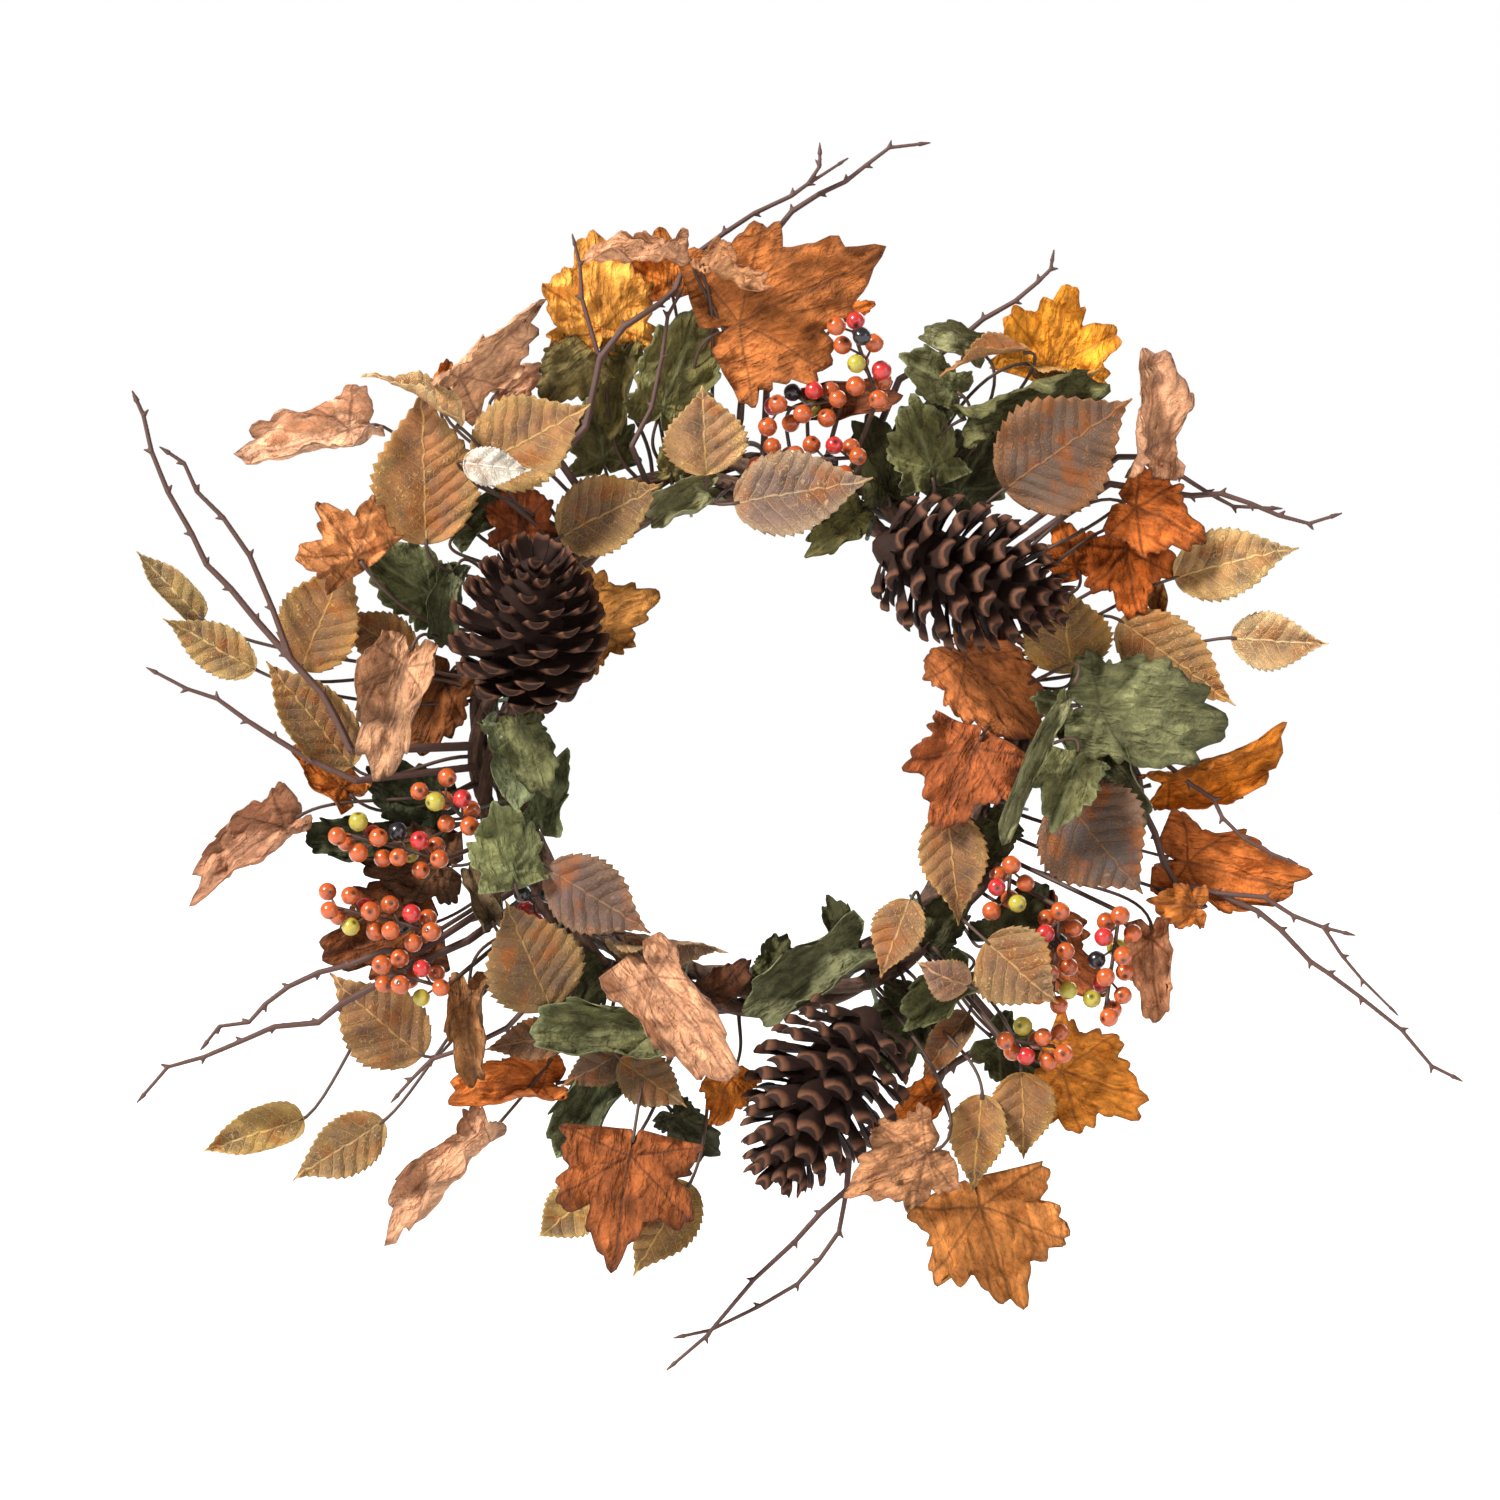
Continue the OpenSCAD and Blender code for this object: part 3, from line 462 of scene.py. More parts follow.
def lobed_leaf(plan, rng, crumple=1.4, rounded=0.0):
    """A lobed leaf on a polar grid about the point where the veins meet: its points, its UVs,
    and how near each point is to the edge. The outline joins the tips of the lobes and the
    bays between them, plus small teeth, and keeps inside the plan. The height is a fold and a
    bow, plus lumps: pleats between the veins, crumple waves, and an edge that curls up and
    down round the leaf. A hyperbolic tangent holds the lumps under most_lump. The tip then
    curls up or down, and a leaf wider than its plan is rolled, tighter in some places."""
    turns, rings = 132, 15
    a = np.linspace(-np.pi, np.pi, turns, endpoint=False)[None, :]
    q = np.linspace(0, 1, rings)[:, None] ** 0.85
    length, half = plan["length"], plan["half"]
    flat_half = half if half > 0.3 * length else min(0.38 * length, 1.7 * half)
    joint = 0.16 * length
    tip = length - joint
    right_ways = np.array([0.5, outer_vein, 1.4, base_vein, 2.5, np.pi])
    right_reach = np.array([0.9, 1.25, 0.84, 1.04, 0.9, 0.2])
    ways = np.concatenate([-right_ways[::-1], [0.0], right_ways])
    reach = np.concatenate([right_reach[::-1], [0.0], right_reach]) * flat_half
    reach[[5, 7]] = 0.62 * tip * (1 - rounded) + 0.8 * tip * rounded
    reach[6] = tip
    reach[1:-1] *= rng.uniform(0.92, 1.05, 11)
    stray = 0.06 * rng.normal(0, 1, 13) * np.sign(reach - 0.25 * flat_half)
    rim = np.interp(a, ways + stray, reach)
    saw = np.abs(((a * 4.3 + rng.uniform(0, 1)) % 1.0) - 0.35)
    rim = rim * (1 + 0.17 * (0.35 - saw) + 0.04 * np.sin(17 * a + rng.uniform(0, 6)))
    behind = joint / np.maximum(-np.cos(a), 0.2) + 0.06 * length
    rim = np.where(np.cos(a) < 0, np.minimum(rim, behind), rim)
    rim = np.minimum(rim, flat_half * 1.06 / np.maximum(np.abs(np.sin(a)), 0.05))
    r = q * rim
    x, y = r * np.sin(a), joint + r * np.cos(a)
    s = np.clip(y / length, 0, 1)
    z = np.sqrt(x**2 + (2 * MM) ** 2) * 0.12 + 3 * MM * 4 * s * (1 - s)
    vein_ways = (0.0, outer_vein, base_vein)
    vein_angle = np.minimum.reduce([np.abs(np.abs(a) - way) for way in vein_ways])
    lump = r * 0.13 * np.minimum(vein_angle, 0.45) * crumple
    lump = lump + waves(x, y, rng, 9, 9 * MM, 26 * MM) * 1.5 * MM * crumple * (0.25 + q)
    lump = lump - np.abs(waves(x, y, rng, 5, 14 * MM, 40 * MM)) * 1.9 * MM * crumple * q
    lump = lump - np.abs(waves(x, y, rng, 5, 7 * MM, 11 * MM)) * 0.7 * MM * crumple
    curl = np.sin(3 * a + rng.uniform(0, 6)) + 0.7 * np.sin(5 * a + rng.uniform(0, 6))
    lump = lump + 4.0 * MM * crumple * curl * q**4
    z = z + most_lump * np.tanh(lump / most_lump)
    z = z + rng.uniform(-10, 12) * MM * np.clip(s - 0.6, 0, 1) ** 2 / 0.16
    u = np.stack([x, y - joint], -1) / uv_unit
    if flat_half > half:
        ruffle = 0.85 + 0.15 * np.sin(y / (0.08 * length) + rng.uniform(0, 6))
        x, lift = roll_sides(x, half * ruffle, flat_half)
        z = z + lift * 0.8
    return lay_leaf(plan, x, y, z), u, q**3 + 0 * a


def crumpled_cloth(name, vein_strength, rough):
    """Dyed cotton leaf cloth, matt: blotches in two sizes, painted light and shade that follow the
    pleats, creases darkened as painted shade, a burnt edge, a midrib with two main veins on each
    side and finer ones between, and a crumpled relief with folds 3 to 8 mm apart."""
    mat, t, shader = surface(name, Roughness=rough, Specular_IOR_Level=0.16)
    uv = add(t, "UVMap", uv_map="UVMap").outputs[0]
    place = add(t, "TexCoord").outputs["Object"]
    bend = add(t, "TexNoise", {0: place, "Scale": 45.0, "Detail": 2.0})
    shift = {0: bend.outputs["Color"], 1: (0.5, 0.5, 0.5)}
    shift = add(t, "VectorMath", shift, operation="SUBTRACT")
    bent = {0: shift.outputs[0], 1: (0.06, 0.06, 0.0), 2: uv}
    bent = add(t, "VectorMath", bent, operation="MULTIPLY_ADD").outputs[0]
    xy = add(t, "SeparateXYZ", {0: bent})
    beside = add(t, "Math", {0: xy.outputs[0]}, operation="ABSOLUTE").outputs[0]
    lines = add(t, "MapRange", {0: beside, 1: 0.004, 2: 0.014, 3: 1.0, 4: 0.0}).outputs[0]
    for angle in (outer_vein, base_vein):
        cosine, sine = float(np.cos(angle)), float(np.sin(angle))
        across = add(t, "Math", {0: beside, 1: cosine}, operation="MULTIPLY").outputs[0]
        gap = {0: xy.outputs[1], 1: -sine, 2: across}
        gap = add(t, "Math", gap, operation="MULTIPLY_ADD").outputs[0]
        gap = add(t, "Math", {0: gap}, operation="ABSOLUTE").outputs[0]
        line = add(t, "MapRange", {0: gap, 1: 0.003, 2: 0.011, 3: 0.9, 4: 0.0}).outputs[0]
        lines = add(t, "Math", {0: lines, 1: line}, operation="MAXIMUM").outputs[0]
    lean = {0: beside, 1: -1.1, 2: xy.outputs[1]}
    lean = add(t, "Math", lean, operation="MULTIPLY_ADD").outputs[0]
    lean = add(t, "Math", {0: lean, 1: uv_unit / fine_vein_step}, operation="MULTIPLY").outputs[0]
    near = add(t, "Math", {0: lean, 1: 0.5}, operation="PINGPONG").outputs[0]
    side = add(t, "MapRange", {0: near, 1: 0.01, 2: 0.06, 3: 0.45, 4: 0.0}).outputs[0]
    lines = add(t, "Math", {0: lines, 1: side}, operation="MAXIMUM").outputs[0]
    blotch = add(t, "TexNoise", {0: place, "Scale": 55.0, "Detail": 5.0, "Roughness": 0.6})
    fleck = add(t, "TexNoise", {0: place, "Scale": 330.0, "Detail": 4.0, "Roughness": 0.65})
    folds = {0: place, "Scale": 150.0, "Detail": 3.0, "Distortion": 1.4}
    folds = add(t, "TexNoise", folds, noise_type="RIDGED_MULTIFRACTAL")
    drawn_out = add(t, "VectorMath", {0: bent, 1: (1.0, 0.28, 1.0)}, operation="MULTIPLY")
    pleats = {0: drawn_out.outputs[0], "Scale": 26.0, "Detail": 3.0, "Distortion": 0.8}
    pleats = add(t, "TexNoise", pleats)
    ground = add(t, "Attribute", attribute_name="ground")
    rim = ground.outputs["Alpha"]
    ground = ground.outputs["Color"]
    veins = add(t, "Attribute", attribute_name="vein").outputs["Color"]
    shade = add(t, "MapRange", {0: blotch.outputs[0], 1: 0.32, 2: 0.68, 3: 0.55, 4: 1.5}).outputs[0]
    flecked = add(t, "MapRange", {0: fleck.outputs[0], 1: 0.3, 2: 0.7, 3: 0.82, 4: 1.14}).outputs[0]
    # Painted light and shade: the pleat noise also raises the relief. Here it lightens the cloth on
    # the raised pleats and darkens it in the hollows between them.
    pleat_light_and_shade = {0: pleats.outputs[0], 1: 0.32, 2: 0.68, 3: 0.62, 4: 1.3}
    pleat_light_and_shade = add(t, "MapRange", pleat_light_and_shade).outputs[0]
    shade = add(t, "Math", {0: shade, 1: flecked}, operation="MULTIPLY").outputs[0]
    shade = add(t, "Math", {0: shade, 1: pleat_light_and_shade}, operation="MULTIPLY").outputs[0]
    base = add(t, "VectorMath", {0: ground, "Scale": shade}, operation="SCALE").outputs[0]
    # Painted shade: the creases are the sharp lines of the fold noise that also shapes the relief.
    # They are mixed toward the leaf's vein colour, which is darker on most leaves.
    painted_crease_shade = add(t, "MapRange", {0: folds.outputs[0], 1: 0.9, 2: 2.2, 3: 0.0, 4: 0.42}).outputs[0]
    base = add(t, "Mix", {0: painted_crease_shade, 6: base, 7: veins}, data_type="RGBA").outputs[2]
    lines = add(t, "Math", {0: lines, 1: vein_strength}, operation="MULTIPLY").outputs[0]
    base = add(t, "Mix", {0: lines, 6: base, 7: veins}, data_type="RGBA").outputs[2]
    rim = add(t, "Math", {0: fleck.outputs[0], 1: 0.5, 2: rim}, operation="MULTIPLY_ADD").outputs[0]
    burnt = add(t, "MapRange", {0: rim, 1: 0.95, 2: 1.25, 3: 0.0, 4: 0.55}).outputs[0]
    base = add(t, "Mix", {0: burnt, 6: base, 7: veins}, data_type="RGBA").outputs[2]
    t.links.new(base, shader.inputs["Base Color"])
    soft = add(t, "TexNoise", {0: place, "Scale": 170.0, "Detail": 4.0, "Roughness": 0.6})
    height = {0: folds.outputs[0], 1: 0.3, 2: soft.outputs[0]}
    height = add(t, "Math", height, operation="MULTIPLY_ADD")
    height = {0: pleats.outputs[0], 1: 1.3, 2: height.outputs[0]}
    height = add(t, "Math", height, operation="MULTIPLY_ADD")
    relief = add(t, "Bump", {"Height": height.outputs[0], "Strength": 1.0, "Distance": 3.0 * MM})
    t.links.new(relief.outputs[0], shader.inputs["Normal"])
    return mat


autumn_cloth = crumpled_cloth("crumpled_autumn_leaf_cloth", 0.6, 0.78)
maple_sprays = {
    "maple_leaves_top_left": (
        "E2AE88 CC6E28 D4A078 CA9470 84421E B47838",
        "7A5040 3E2218 7A5040 7A5040 3A2016 5E3A20",
    ),
    "maple_leaves_top": (
        "EA9E44 D0762A CE966E BC8458 A86230 98481C 84482A CC6E26",
        "6A3818 4A2816 7A4A38 7A4A38 5E3622 38201A 4E2C1C 3E2218",
    ),
    "maple_leaves_top_right": (
        "E4922A CA6A26 B45E26 AC561E C08C68 AC7238",
        "84461C 3E2218 42261A 3E2218 745040 4A2C1C",
    ),
    "maple_leaves_right": (
        "AC6434 944E28 9C562E D67C24 CA8C64 B4622A AE6428",
        "5A3222 4E2E20 4A2C1E 7A421C 6E4020 54301E 54301E",
    ),
    "maple_leaves_lower_right": (
        "B07A52 C66C28 C87E40 CA7C2C",
        "604034 3E2218 56381F 6E3A1A",
    ),
    "maple_leaves_bottom": (
        "94653C BC8C6A C06A2E 864822 C08C68 643C26 CC7428",
        "54382A 6E4C3C 5E3218 35201A 6E4C3C 33221C 5E301A",
    ),
    "maple_leaves_left": (
        "B48060 BC6828 BC7846 B88864 6A3A1C 70401E 60402A",
        "6A4636 3E2218 5A3824 6A4A3A 33201A 34201A 2E2016",
    ),
}
for k, (name, (grounds, veins)) in enumerate(maple_sprays.items()):
    tones = grounds.split(), veins.split()
    slot = "tan_leaf" if name.endswith("left") else "orange_leaf"
    leaf_spray(name, lobed_leaf, autumn_cloth, slot, *tones, 30 + k, polar=True)

# ---------------------------------------------------------------------------
# Green leaves. The same crumpled cloth dyed olive to grey-green, more deeply crumpled and
# with rounder lobes, some with a pale, dusty face.


def crinkled_leaf(plan, rng):
    """The lobed leaf with rounder lobes and deeper crumple."""
    return lobed_leaf(plan, rng, crumple=1.5, rounded=0.6)


green_cloth = crumpled_cloth("crumpled_green_leaf_cloth", 0.35, 0.74)
green_sprays = {
    "green_leaves_top": "74643A 564E2C 786A3C 665E34 766A3C 7A7450 6C6438",
    "green_leaves_top_right": "4C482A 5E5A34 868460 46442C 68643E 5C5836 7E7A56",
    "green_leaves_right": "464226 524E2E 8A865E 625E3A 74724C 403C24",
    "green_leaves_lower_right": "424024 46442A 38361E 54522F 403E24 424024",
    "green_leaves_bottom": "464428 4C4C32 403F2A 605E3C 464428 626042",
    "green_leaves_left": "383A24 4A4A2C 383A24 44442A 666648 80845E 5E4A32 66663F 605F3C 545638",
}
green_veins = ["282A18", "848860"]
for k, (name, grounds) in enumerate(green_sprays.items()):
    tones = grounds.split(), green_veins
    leaf_spray(name, crinkled_leaf, green_cloth, "green_leaf", *tones, 50 + k, polar=True)

# ---------------------------------------------------------------------------
# Leaf stems. Soft wire in a brown moulded cover carries on from each leaf's midrib and
# bends round into the vines, where its end is pushed between them.

# Moulded PVC cover: half matt, in two browns that mottle every 6 mm.
stem_cover, t, shader = surface("brown_stem_cover", Roughness=0.6)
place = add(t, "TexCoord").outputs["Object"]
mottle = add(t, "TexNoise", {0: place, "Scale": 160.0, "Detail": 4.0})
brown = {0: mottle.outputs[0], 6: tone("2A1B14"), 7: tone("5E4232")}
brown = add(t, "Mix", brown, data_type="RGBA")
t.links.new(brown.outputs[2], shader.inputs["Base Color"])
relief = add(t, "Bump", {"Height": mottle.outputs[0], "Strength": 0.4, "Distance": 0.2 * MM})
t.links.new(relief.outputs[0], shader.inputs["Normal"])


def unit(v):
    """Vectors scaled to length one."""
    return v / np.linalg.norm(v, axis=-1, keepdims=True)


def bezier(p0, p1, p2, p3, count):
    """Points at even shares t of a cubic curve: each handle weighted by its Bernstein term."""
    t = np.linspace(0, 1, count)[None, :, None]
    p0, p1, p2, p3 = (p[:, None] for p in (p0, p1, p2, p3))
    return (1 - t) ** 3 * p0 + 3 * (1 - t) ** 2 * t * p1 + 3 * (1 - t) * t**2 * p2 + t**3 * p3


def tubes(name, path, radius, material, slot, cad, sides=7):
    """Round tubes along all the paths at once: each ring of points lies square to the path,
    with its first spoke square to both the path and a fixed slanting direction."""
    n, m = path.shape[:2]
    way = unit(np.gradient(path, axis=1))
    u = unit(np.cross(way, (0.1, -1.0, 0.06)))
    v = np.cross(way, u)
    c = np.linspace(0, 2 * np.pi, sides, endpoint=False)[:, None]
    ring = u[:, :, None] * np.cos(c) + v[:, :, None] * np.sin(c)
    points = path[:, :, None] + radius[None, :, None, None] * ring
    first = np.arange(n)[:, None] * m * sides
    faces = (first[..., None] + grid_quads(m, sides)).reshape(-1, 4).tolist()
    first = first + np.arange(sides)
    faces += first[:, ::-1].tolist() + (first + (m - 1) * sides).tolist()
    piece(name, skin(name, points.reshape(-1, 3), faces), material, slot, cad)


# One stem a leaf: it leaves the base against the leaf's axis, swings a little to a side, and
# comes in to the bundle at the nearest point of the ring. It is thickest at the leaf.
stations = 18
share = np.linspace(0, 1, stations)
stem_radius = (0.8 + 0.3 * share + 0.5 * np.exp(-share * 30)) * MM
for k, name in enumerate(n for n in solids_of if n.startswith("stems_")):
    rng = np.random.default_rng(90 + k)
    leaves = [n for n in solids_of if n.endswith(name.replace("stems_", "_leaves_"))]
    plans = [plan for n in leaves for plan in in_order(n)]
    base = np.array([plan["base"] for plan in plans])
    axis = np.array([plan["axis"] for plan in plans])
    flat = (base - ring_centre) * (1, 0, 1)
    core = ring_centre + ring_radius * unit(flat)
    foot = core + 8 * MM * unit(base - core)
    gap = np.linalg.norm(base - foot, axis=1, keepdims=True)
    swing = rng.normal(0, 0.16, (len(base), 1)) * gap * np.cross(unit(base - foot), (0, 1, 0))
    near = base - axis * np.minimum(gap * 0.4, 22 * MM)
    far = foot + (foot - core) * 0.8 + (base - foot) * 0.3 + swing
    path = bezier(base + 3 * MM * axis, near, far, foot, stations)
    tubes(name + "_covered", path, stem_radius, stem_cover, "wrapped_stem", name)
for name in [n for n in solids_of if n.startswith("berry_stems_")]:
    solids_of[name].material_slots[0].material = stem_cover

# ---------------------------------------------------------------------------
# Budded twigs. Wire in a moulded dark brown bark with a bud at each bend.

# Moulded PVC bark: dull, with a grain of 2 mm in two browns and plainer reddish stretches.
twig_bark, t, shader = surface("moulded_twig_bark", Roughness=0.66)
place = add(t, "TexCoord").outputs["Object"]
grain = add(t, "TexNoise", {0: place, "Scale": 420.0, "Detail": 5.0, "Roughness": 0.7})
blush = add(t, "TexNoise", {0: place, "Scale": 60.0, "Detail": 2.0})
bark = add(t, "Mix", {0: grain.outputs[0], 6: tone("2C1B16"), 7: tone("6E4C3E")}, data_type="RGBA")
bark = add(t, "Mix", {0: blush.outputs[0], 6: bark.outputs[2], 7: tone("4C3028")}, data_type="RGBA")
t.links.new(bark.outputs[2], shader.inputs["Base Color"])
relief = add(t, "Bump", {"Height": grain.outputs[0], "Strength": 0.7, "Distance": 0.4 * MM})
t.links.new(relief.outputs[0], shader.inputs["Normal"])


def weld_copy(name, new_name):
    """A copy of a CAD node's mesh whose loose triangles are joined into one skin."""
    mesh = solids_of[name].data.copy()
    mesh.name = new_name
    work = bmesh.new()
    work.from_mesh(mesh)
    bmesh.ops.remove_doubles(work, verts=work.verts, dist=0.005 * MM)
    work.to_mesh(mesh)
    work.free()
    mesh.materials.clear()
    return mesh


def apply_modifiers(obj):
    """Bakes an object's modifiers into its mesh."""
    bpy.context.view_layer.update()
    graph = bpy.context.evaluated_depsgraph_get()
    done = bpy.data.meshes.new_from_object(obj.evaluated_get(graph))
    obj.modifiers.clear()
    obj.data = done


for name in [n for n in solids_of if n.startswith("twig_")]:
    obj = bpy.data.objects.new(name + "_bark", weld_copy(name, name + "_bark"))
    bpy.context.scene.collection.objects.link(obj)
    obj.modifiers.new("skin", "REMESH").voxel_size = 0.45 * MM
    obj.modifiers["skin"].mode = "VOXEL"
    even = obj.modifiers.new("even", "SMOOTH")
    even.factor, even.iterations = 0.5, 3
    apply_modifiers(obj)
    obj.data.materials.append(twig_bark)
    obj.data.shade_smooth()
    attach(obj, "wreath")
    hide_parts(name)

# ---------------------------------------------------------------------------
# Berries. Foam balls dipped in tinted lacquer, each on a wire glued into its side, with a
# small dark eye at the far end. Copper orange, red, yellow-green and near black.


def lacquer(name, light, dark, eye):
    """Tinted lacquer: two tones in soft blotches, darker at the eye, under a clear gloss."""
    mat, t, shader = surface(name, Roughness=0.28, Coat_Weight=0.6, Coat_Roughness=0.12)
    place = add(t, "TexCoord").outputs["Object"]
    cloud = add(t, "TexNoise", {0: place, "Scale": 210.0, "Detail": 3.0})
    skin = add(t, "Mix", {0: cloud.outputs[0], 6: tone(dark), 7: tone(light)}, data_type="RGBA")
    up = add(t, "SeparateXYZ", {0: add(t, "UVMap", uv_map="UVMap").outputs[0]}).outputs[1]
    spot = add(t, "MapRange", {0: up, 1: 0.86, 2: 0.97, 3: 0.0, 4: 1.0}).outputs[0]
    skin = add(t, "Mix", {0: spot, 6: skin.outputs[2], 7: tone(eye)}, data_type="RGBA")
    t.links.new(skin.outputs[2], shader.inputs["Base Color"])
    bump = add(t, "Bump", {"Height": cloud.outputs[0], "Strength": 0.25, "Distance": 0.3 * MM})
    t.links.new(bump.outputs[0], shader.inputs["Normal"])
    return mat


def berry_bunch(cad, material, slot, seed):
    """All berries of a colour: each is a sphere on a closed grid of 10 rings by 14 points,
    drawn in a little at its eye, and turned a random way that mostly faces forward."""
    rings, cols = 10, 14
    p = np.linspace(0, np.pi, rings)[:, None]
    c = np.linspace(0, 2 * np.pi, cols, endpoint=False)[None, :]
    rng = np.random.default_rng(seed)
    points, quads, uvs = [], [], []
    for k, solid in enumerate(solids(cad)):
        centre = (solid.min(0) + solid.max(0)) / 2
        radius = (solid.max(0) - solid.min(0)).max() / 2 * rng.uniform(0.9, 1.0)
        up = unit(rng.normal(0, 0.6, 3) + (0, -0.6, 0))
        e1 = unit(np.cross(up, (0.3, 0.5, 0.81)))
        e2 = np.cross(up, e1)
        r = radius * (1 - 0.14 * np.exp(-((np.pi - p) ** 2) / 0.05)) * np.ones_like(c)
        ball = (
            centre
            + (r * np.sin(p) * np.cos(c))[..., None] * e1
            + (r * np.sin(p) * np.sin(c))[..., None] * e2
            - (r * np.cos(p) + 0 * c)[..., None] * up
        )
        quads.append(grid_quads(rings, cols) + k * rings * cols)
        points.append(ball.reshape(-1, 3))
        uvs.append(np.stack(np.broadcast_arrays(c / (2 * np.pi), p / np.pi), -1).reshape(-1, 2))
    name, faces = cad + "_lacquered", np.concatenate(quads).tolist()
    mesh = skin(name, np.concatenate(points), faces, np.concatenate(uvs))
    piece(name, mesh, material, slot, cad)


copper = lacquer("copper_orange_lacquer", "CC6024", "943E14", "34170A")
for k, part in enumerate(("top", "left", "right")):
    berry_bunch(f"orange_berries_{part}", copper, "orange_berry", 70 + k)
for seed, colour, name, *tones in (
    (74, "red", "red_lacquer", "D0342C", "A01C1E", "3A1214"),
    (75, "yellow", "yellow_green_lacquer", "C0AE3A", "94862A", "4A4218"),
    (76, "black", "black_lacquer", "221E24", "0E0C10", "080708"),
):
    berry_bunch(f"{colour}_berries", lacquer(name, *tones), f"{colour}_berry", seed)

# ---------------------------------------------------------------------------
# Pine cones. Real open cones: stiff woody scales in a spiral on a core, dark brown inside and
# painted near black there as shade, each with a thick rounded end of paler wood and a small
# darker boss raised on it.

# Pine wood, dry and dull: dark brown on the scale bodies, painted nearly black between the
# scales as shade, and paler brown on their worn ends, with a grain of about 3 mm.
cone_wood, t, shader = surface("pine_cone_wood", Roughness=0.78, Specular_IOR_Level=0.25)
uv = add(t, "UVMap", uv_map="UVMap").outputs[0]
out = add(t, "SeparateXYZ", {0: uv}).outputs[1]
place = add(t, "TexCoord").outputs["Object"]
grain = add(t, "TexNoise", {0: place, "Scale": 300.0, "Detail": 5.0, "Roughness": 0.65})
# Painted shade: the scale bodies, down between the scales, and the core are near black. The wood
# itself is dark brown.
dark_wood_and_painted_shade = add(t, "Mix", {0: grain.outputs[0], 6: tone("150B06"), 7: tone("361D12")}, data_type="RGBA")
rim = add(t, "Mix", {0: grain.outputs[0], 6: tone("422618"), 7: tone("7C5038")}, data_type="RGBA")
fade = add(t, "MapRange", {0: out, 1: 0.9, 2: 0.985, 3: 0.0, 4: 1.0}).outputs[0]
wood = add(t, "Mix", {0: fade, 6: dark_wood_and_painted_shade.outputs[2], 7: rim.outputs[2]}, data_type="RGBA")
t.links.new(wood.outputs[2], shader.inputs["Base Color"])
relief = add(t, "Bump", {"Height": grain.outputs[0], "Strength": 0.6, "Distance": 0.5 * MM})
t.links.new(relief.outputs[0], shader.inputs["Normal"])


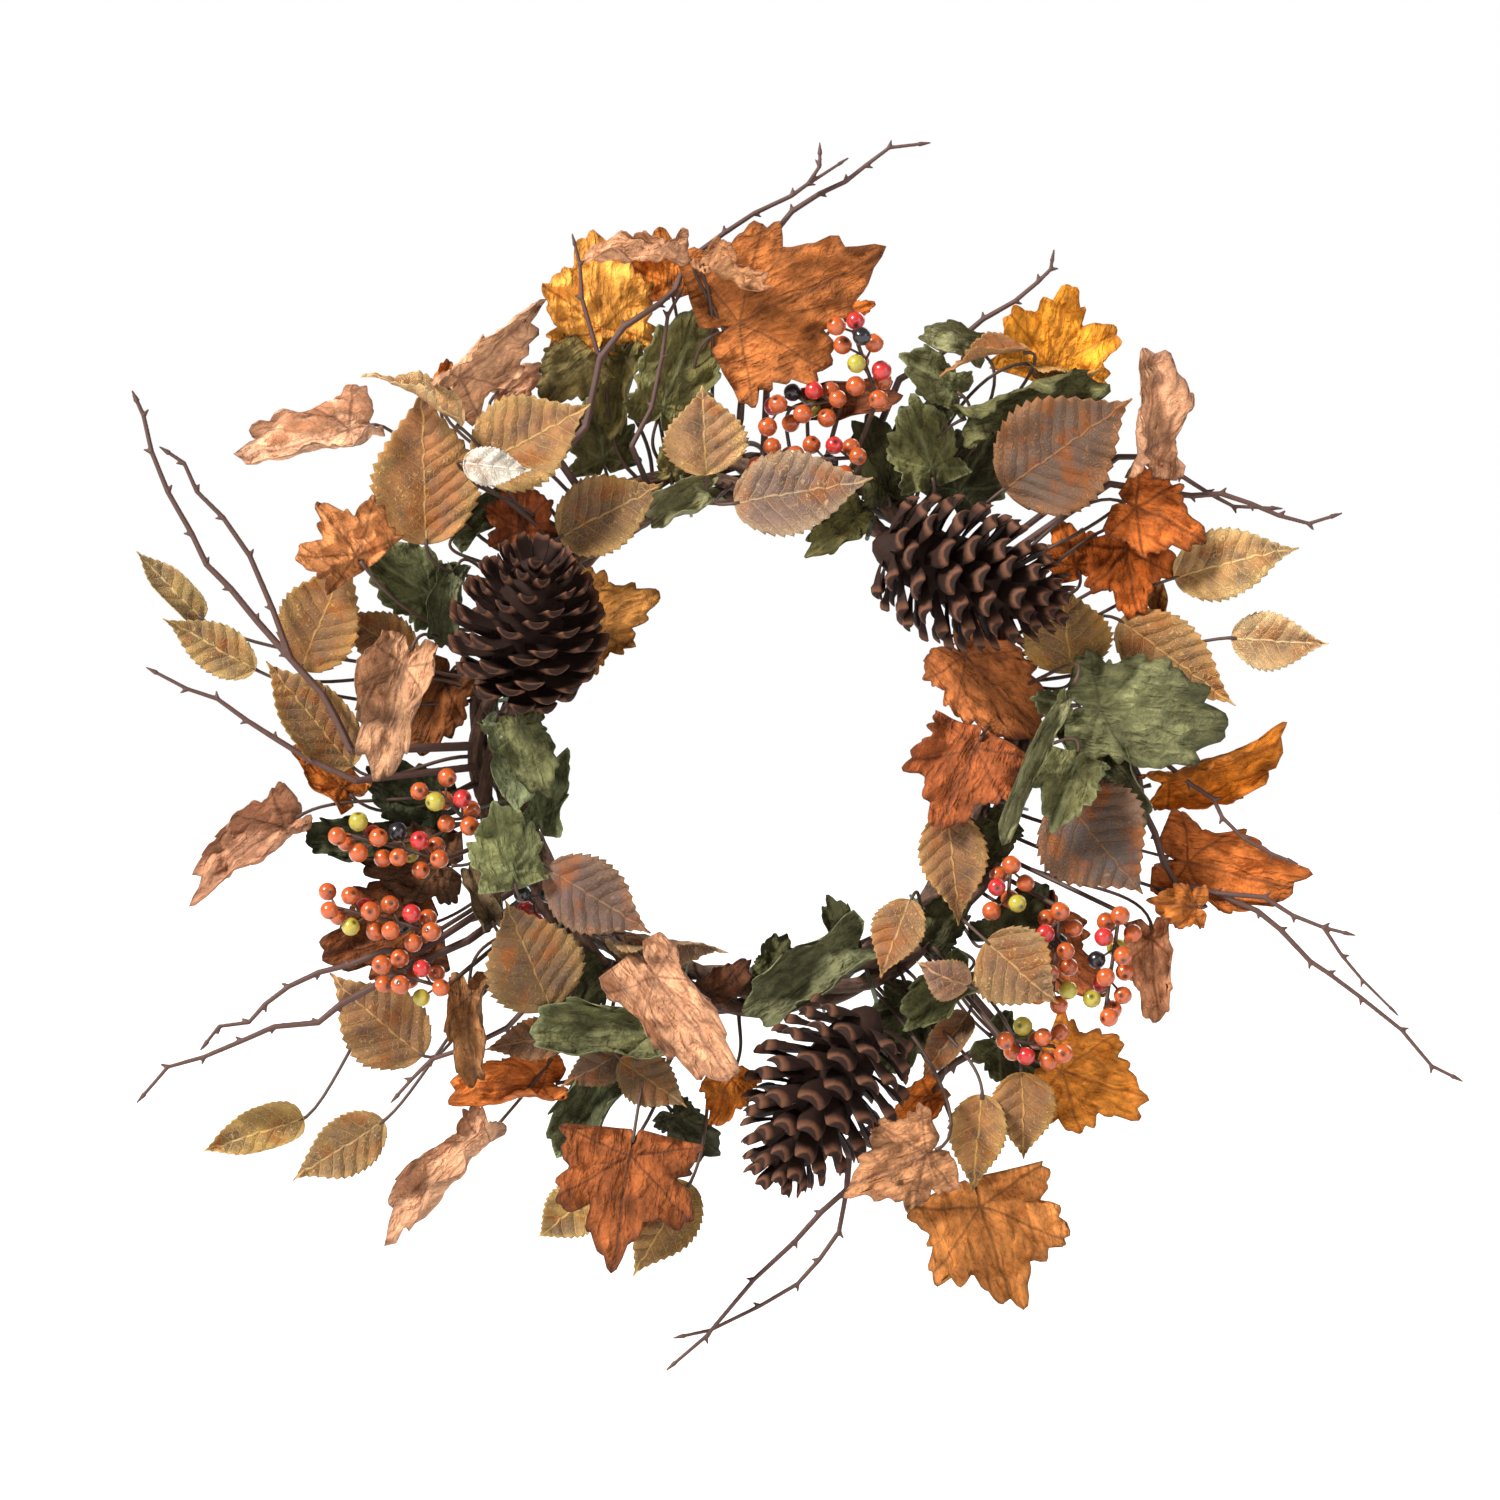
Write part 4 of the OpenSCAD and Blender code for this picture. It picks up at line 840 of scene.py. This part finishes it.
def pine_cone(part, seed, count=96, golden_turn=137.5):
    """A cone from its CAD solid: the long axis of its points, its base where it is wide.
    Scales sit one golden turn apart from base to tip. A scale is a closed grid: a tongue
    that widens to a rounded, thickened end and curls toward the cone's tip. Its last ring,
    smaller and pushed outward, is the boss. The core is an ellipsoid inside them."""
    cad, name = f"pine_cone_{part}", f"pine_cone_{part}_scales"
    pts = np.concatenate(solids(cad))
    mid = pts.mean(0)
    _, _, ways = np.linalg.svd(pts - mid, full_matrices=False)
    axis = ways[0]
    along = (pts - mid) @ axis
    off = np.linalg.norm(pts - mid - np.outer(along, axis), axis=1)
    ends = along.min(), along.max()
    third = (ends[1] - ends[0]) / 3
    if off[along < ends[0] + third].max() < off[along > ends[1] - third].max():
        axis, ends = -axis, (-ends[1], -ends[0])
    length, radius = ends[1] - ends[0], off.max()
    base = mid + axis * ends[0]
    e1 = unit(np.cross(axis, (0.2, 0.9, 0.3)))
    e2 = np.cross(axis, e1)
    rng = np.random.default_rng(seed)
    rows, cols = 10, 12
    widest, boss_size, boss_tint = 0.35, 0.62, 0.86
    s = np.linspace(0, 1, rows)[:, None] ** 0.8
    c = np.linspace(0, 2 * np.pi, cols, endpoint=False)[None, :]
    points, faces, uvs, start = [], [], [], 0
    for k in range(count):
        h = (k + 0.5) / count
        below = 0.66 + 0.34 * np.sin(h / widest * np.pi / 2)
        above = np.cos((h - widest) * 1.82)
        env = radius * (below if h < widest else above) * rng.uniform(0.94, 1.0)
        turn = np.radians(golden_turn * k) + rng.uniform(-0.06, 0.06)
        reach = env * 0.93
        wide = (4.6 + 4.8 * np.sin(np.pi * min(h * 0.9 + 0.2, 1))) * MM
        tilt = np.radians(-10 + 46 * h + rng.uniform(-7, 7))
        body = wide * (0.25 + 0.75 * s**0.9) * (1 - 0.3 * np.clip((s - 0.8) / 0.2, 0, 1) ** 2)
        thick = (0.6 + 1.7 * np.exp(-(((s - 0.95) / 0.09) ** 2))) * MM
        u = body * np.cos(c)
        w = thick * np.sin(c) + 3.0 * MM * s**2 * np.cos(c) ** 2
        rise = reach * s * np.sin(tilt) + 4.5 * MM * s**3
        outward = reach * s * np.cos(tilt) + 0 * c
        foot = length * (0.07 + 0.80 * h) - reach * np.sin(tilt) * 0.5
        sink = np.clip(foot + rise + w, -1 * MM, length)
        radial = np.cos(turn) * e1 + np.sin(turn) * e2
        sidew = -np.sin(turn) * e1 + np.cos(turn) * e2
        scale = base + outward[..., None] * radial + u[..., None] * sidew + sink[..., None] * axis
        end = scale[-1].mean(0)
        push = 0.9 * MM * (radial * np.cos(tilt) + axis * np.sin(tilt))
        boss = end + boss_size * (scale[-1] - end) + push
        points.append(np.concatenate([scale, boss[None]]).reshape(-1, 3))
        faces += (grid_quads(rows + 1, cols) + start).tolist()
        faces.append((np.arange(cols) + rows * cols + start).tolist())
        faces.append((np.arange(cols)[::-1] + start).tolist())
        tint = np.append(s, boss_tint)[:, None]
        uvs.append(np.stack(np.broadcast_arrays(c / (2 * np.pi), tint), -1).reshape(-1, 2))
        start += (rows + 1) * cols
    rings, cols = 14, 16
    p = np.linspace(0, np.pi, rings)[:, None]
    c = np.linspace(0, 2 * np.pi, cols, endpoint=False)[None, :]
    core_radius, core_half = radius * 0.42, length * 0.44
    core = (
        base
        + axis * (length * 0.46)
        + (core_radius * np.sin(p) * np.cos(c))[..., None] * e1
        + (core_radius * np.sin(p) * np.sin(c))[..., None] * e2
        - (core_half * np.cos(p) + 0 * c)[..., None] * axis
    )
    faces += (grid_quads(rings, cols) + start).tolist()
    points.append(core.reshape(-1, 3))
    uvs.append(np.zeros((rings * cols, 2)))
    mesh = skin(name, np.concatenate(points), faces, np.concatenate(uvs))
    piece(name, mesh, cone_wood, "cone_scale", cad)


for k, part in enumerate(("left", "upper_right", "bottom")):
    pine_cone(part, 80 + k)

# ---------------------------------------------------------------------------
# Studio. A plain pale floor well below the hanging wreath, a white room, soft lights from
# the front, the side and behind, and a camera straight in front with a long lens.

floor_drop = 250 * MM
floor_reach = 40.0
spokes = np.linspace(0, 2 * np.pi, 96, endpoint=False)[:, None]
circles = np.array([0.02, 1.0, 4.0, 12.0, floor_reach])[None, :]
floor_z = cad_box[0][2] - floor_drop
disc = np.broadcast_arrays(circles * np.cos(spokes), circles * np.sin(spokes), floor_z)
disc = np.stack(disc, -1)
disc_quads = grid_quads(*disc.shape[:2], closed_rows=True, closed_cols=False).tolist()
# Matt studio paper, with no gloss at all, so that the floor stays an even near-white.
paper, _, shader = surface("white_studio_paper", Roughness=0.95, Specular_IOR_Level=0.0)
shader.inputs["Base Color"].default_value = tone("FAFAFA")
floor_mesh = skin("studio_floor", disc.reshape(-1, 3), disc_quads)
floor = bpy.data.objects.new("studio_floor", floor_mesh)
bpy.context.scene.collection.objects.link(floor)
floor.data.materials.append(paper)

# The room looks white, and lights the wreath with three tenths of that.
room_light = 0.3
world = bpy.data.worlds.new("white_room")
bpy.context.scene.world = world
world.use_nodes = True
t = world.node_tree
room = t.nodes["Background"]
room.inputs[0].default_value = (1, 1, 1, 1)
room.inputs[1].default_value = room_light
seen = add(t, "Background", {0: (1, 1, 1, 1), 1: 1.0})
pick = add(t, "MixShader", {0: add(t, "LightPath").outputs["Is Camera Ray"]})
t.links.new(room.outputs[0], pick.inputs[1])
t.links.new(seen.outputs[0], pick.inputs[2])
t.links.new(pick.outputs[0], t.nodes["World Output"].inputs[0])


def soft_light(name, where, spread, strength):
    """A distant light that comes from where, as wide as spread in degrees."""
    data = bpy.data.lights.new(name, "SUN")
    data.energy, data.angle = strength, np.radians(spread)
    obj = bpy.data.objects.new(name, data)
    obj.rotation_euler = Vector(where).to_track_quat("Z", "Y").to_euler()
    bpy.context.scene.collection.objects.link(obj)


soft_light("key_light", (-1.5, -1.3, 1.4), 14, 5.6)
soft_light("fill_light", (1.6, -1.55, 0.4), 35, 0.6)
soft_light("back_light", (0.9, 1.5, 1.0), 40, 1.1)

# The picture is as wide as view_width at aim_y, and its middle is a little below the ring's.
lens, sensor = 120, 36
view_width = 0.75
aim_y = -50 * MM
aim_z = float(ring_centre[2]) - 7.5 * MM
camera_data = bpy.data.cameras.new("camera")
camera_data.lens = lens
camera_data.sensor_width = sensor
camera = bpy.data.objects.new("camera", camera_data)
camera.location = (0.0, aim_y - view_width * lens / sensor, aim_z)
camera.rotation_euler = (np.pi / 2, 0, 0)
bpy.context.scene.collection.objects.link(camera)
bpy.context.scene.camera = camera
bpy.context.scene.view_settings.view_transform = "Standard"
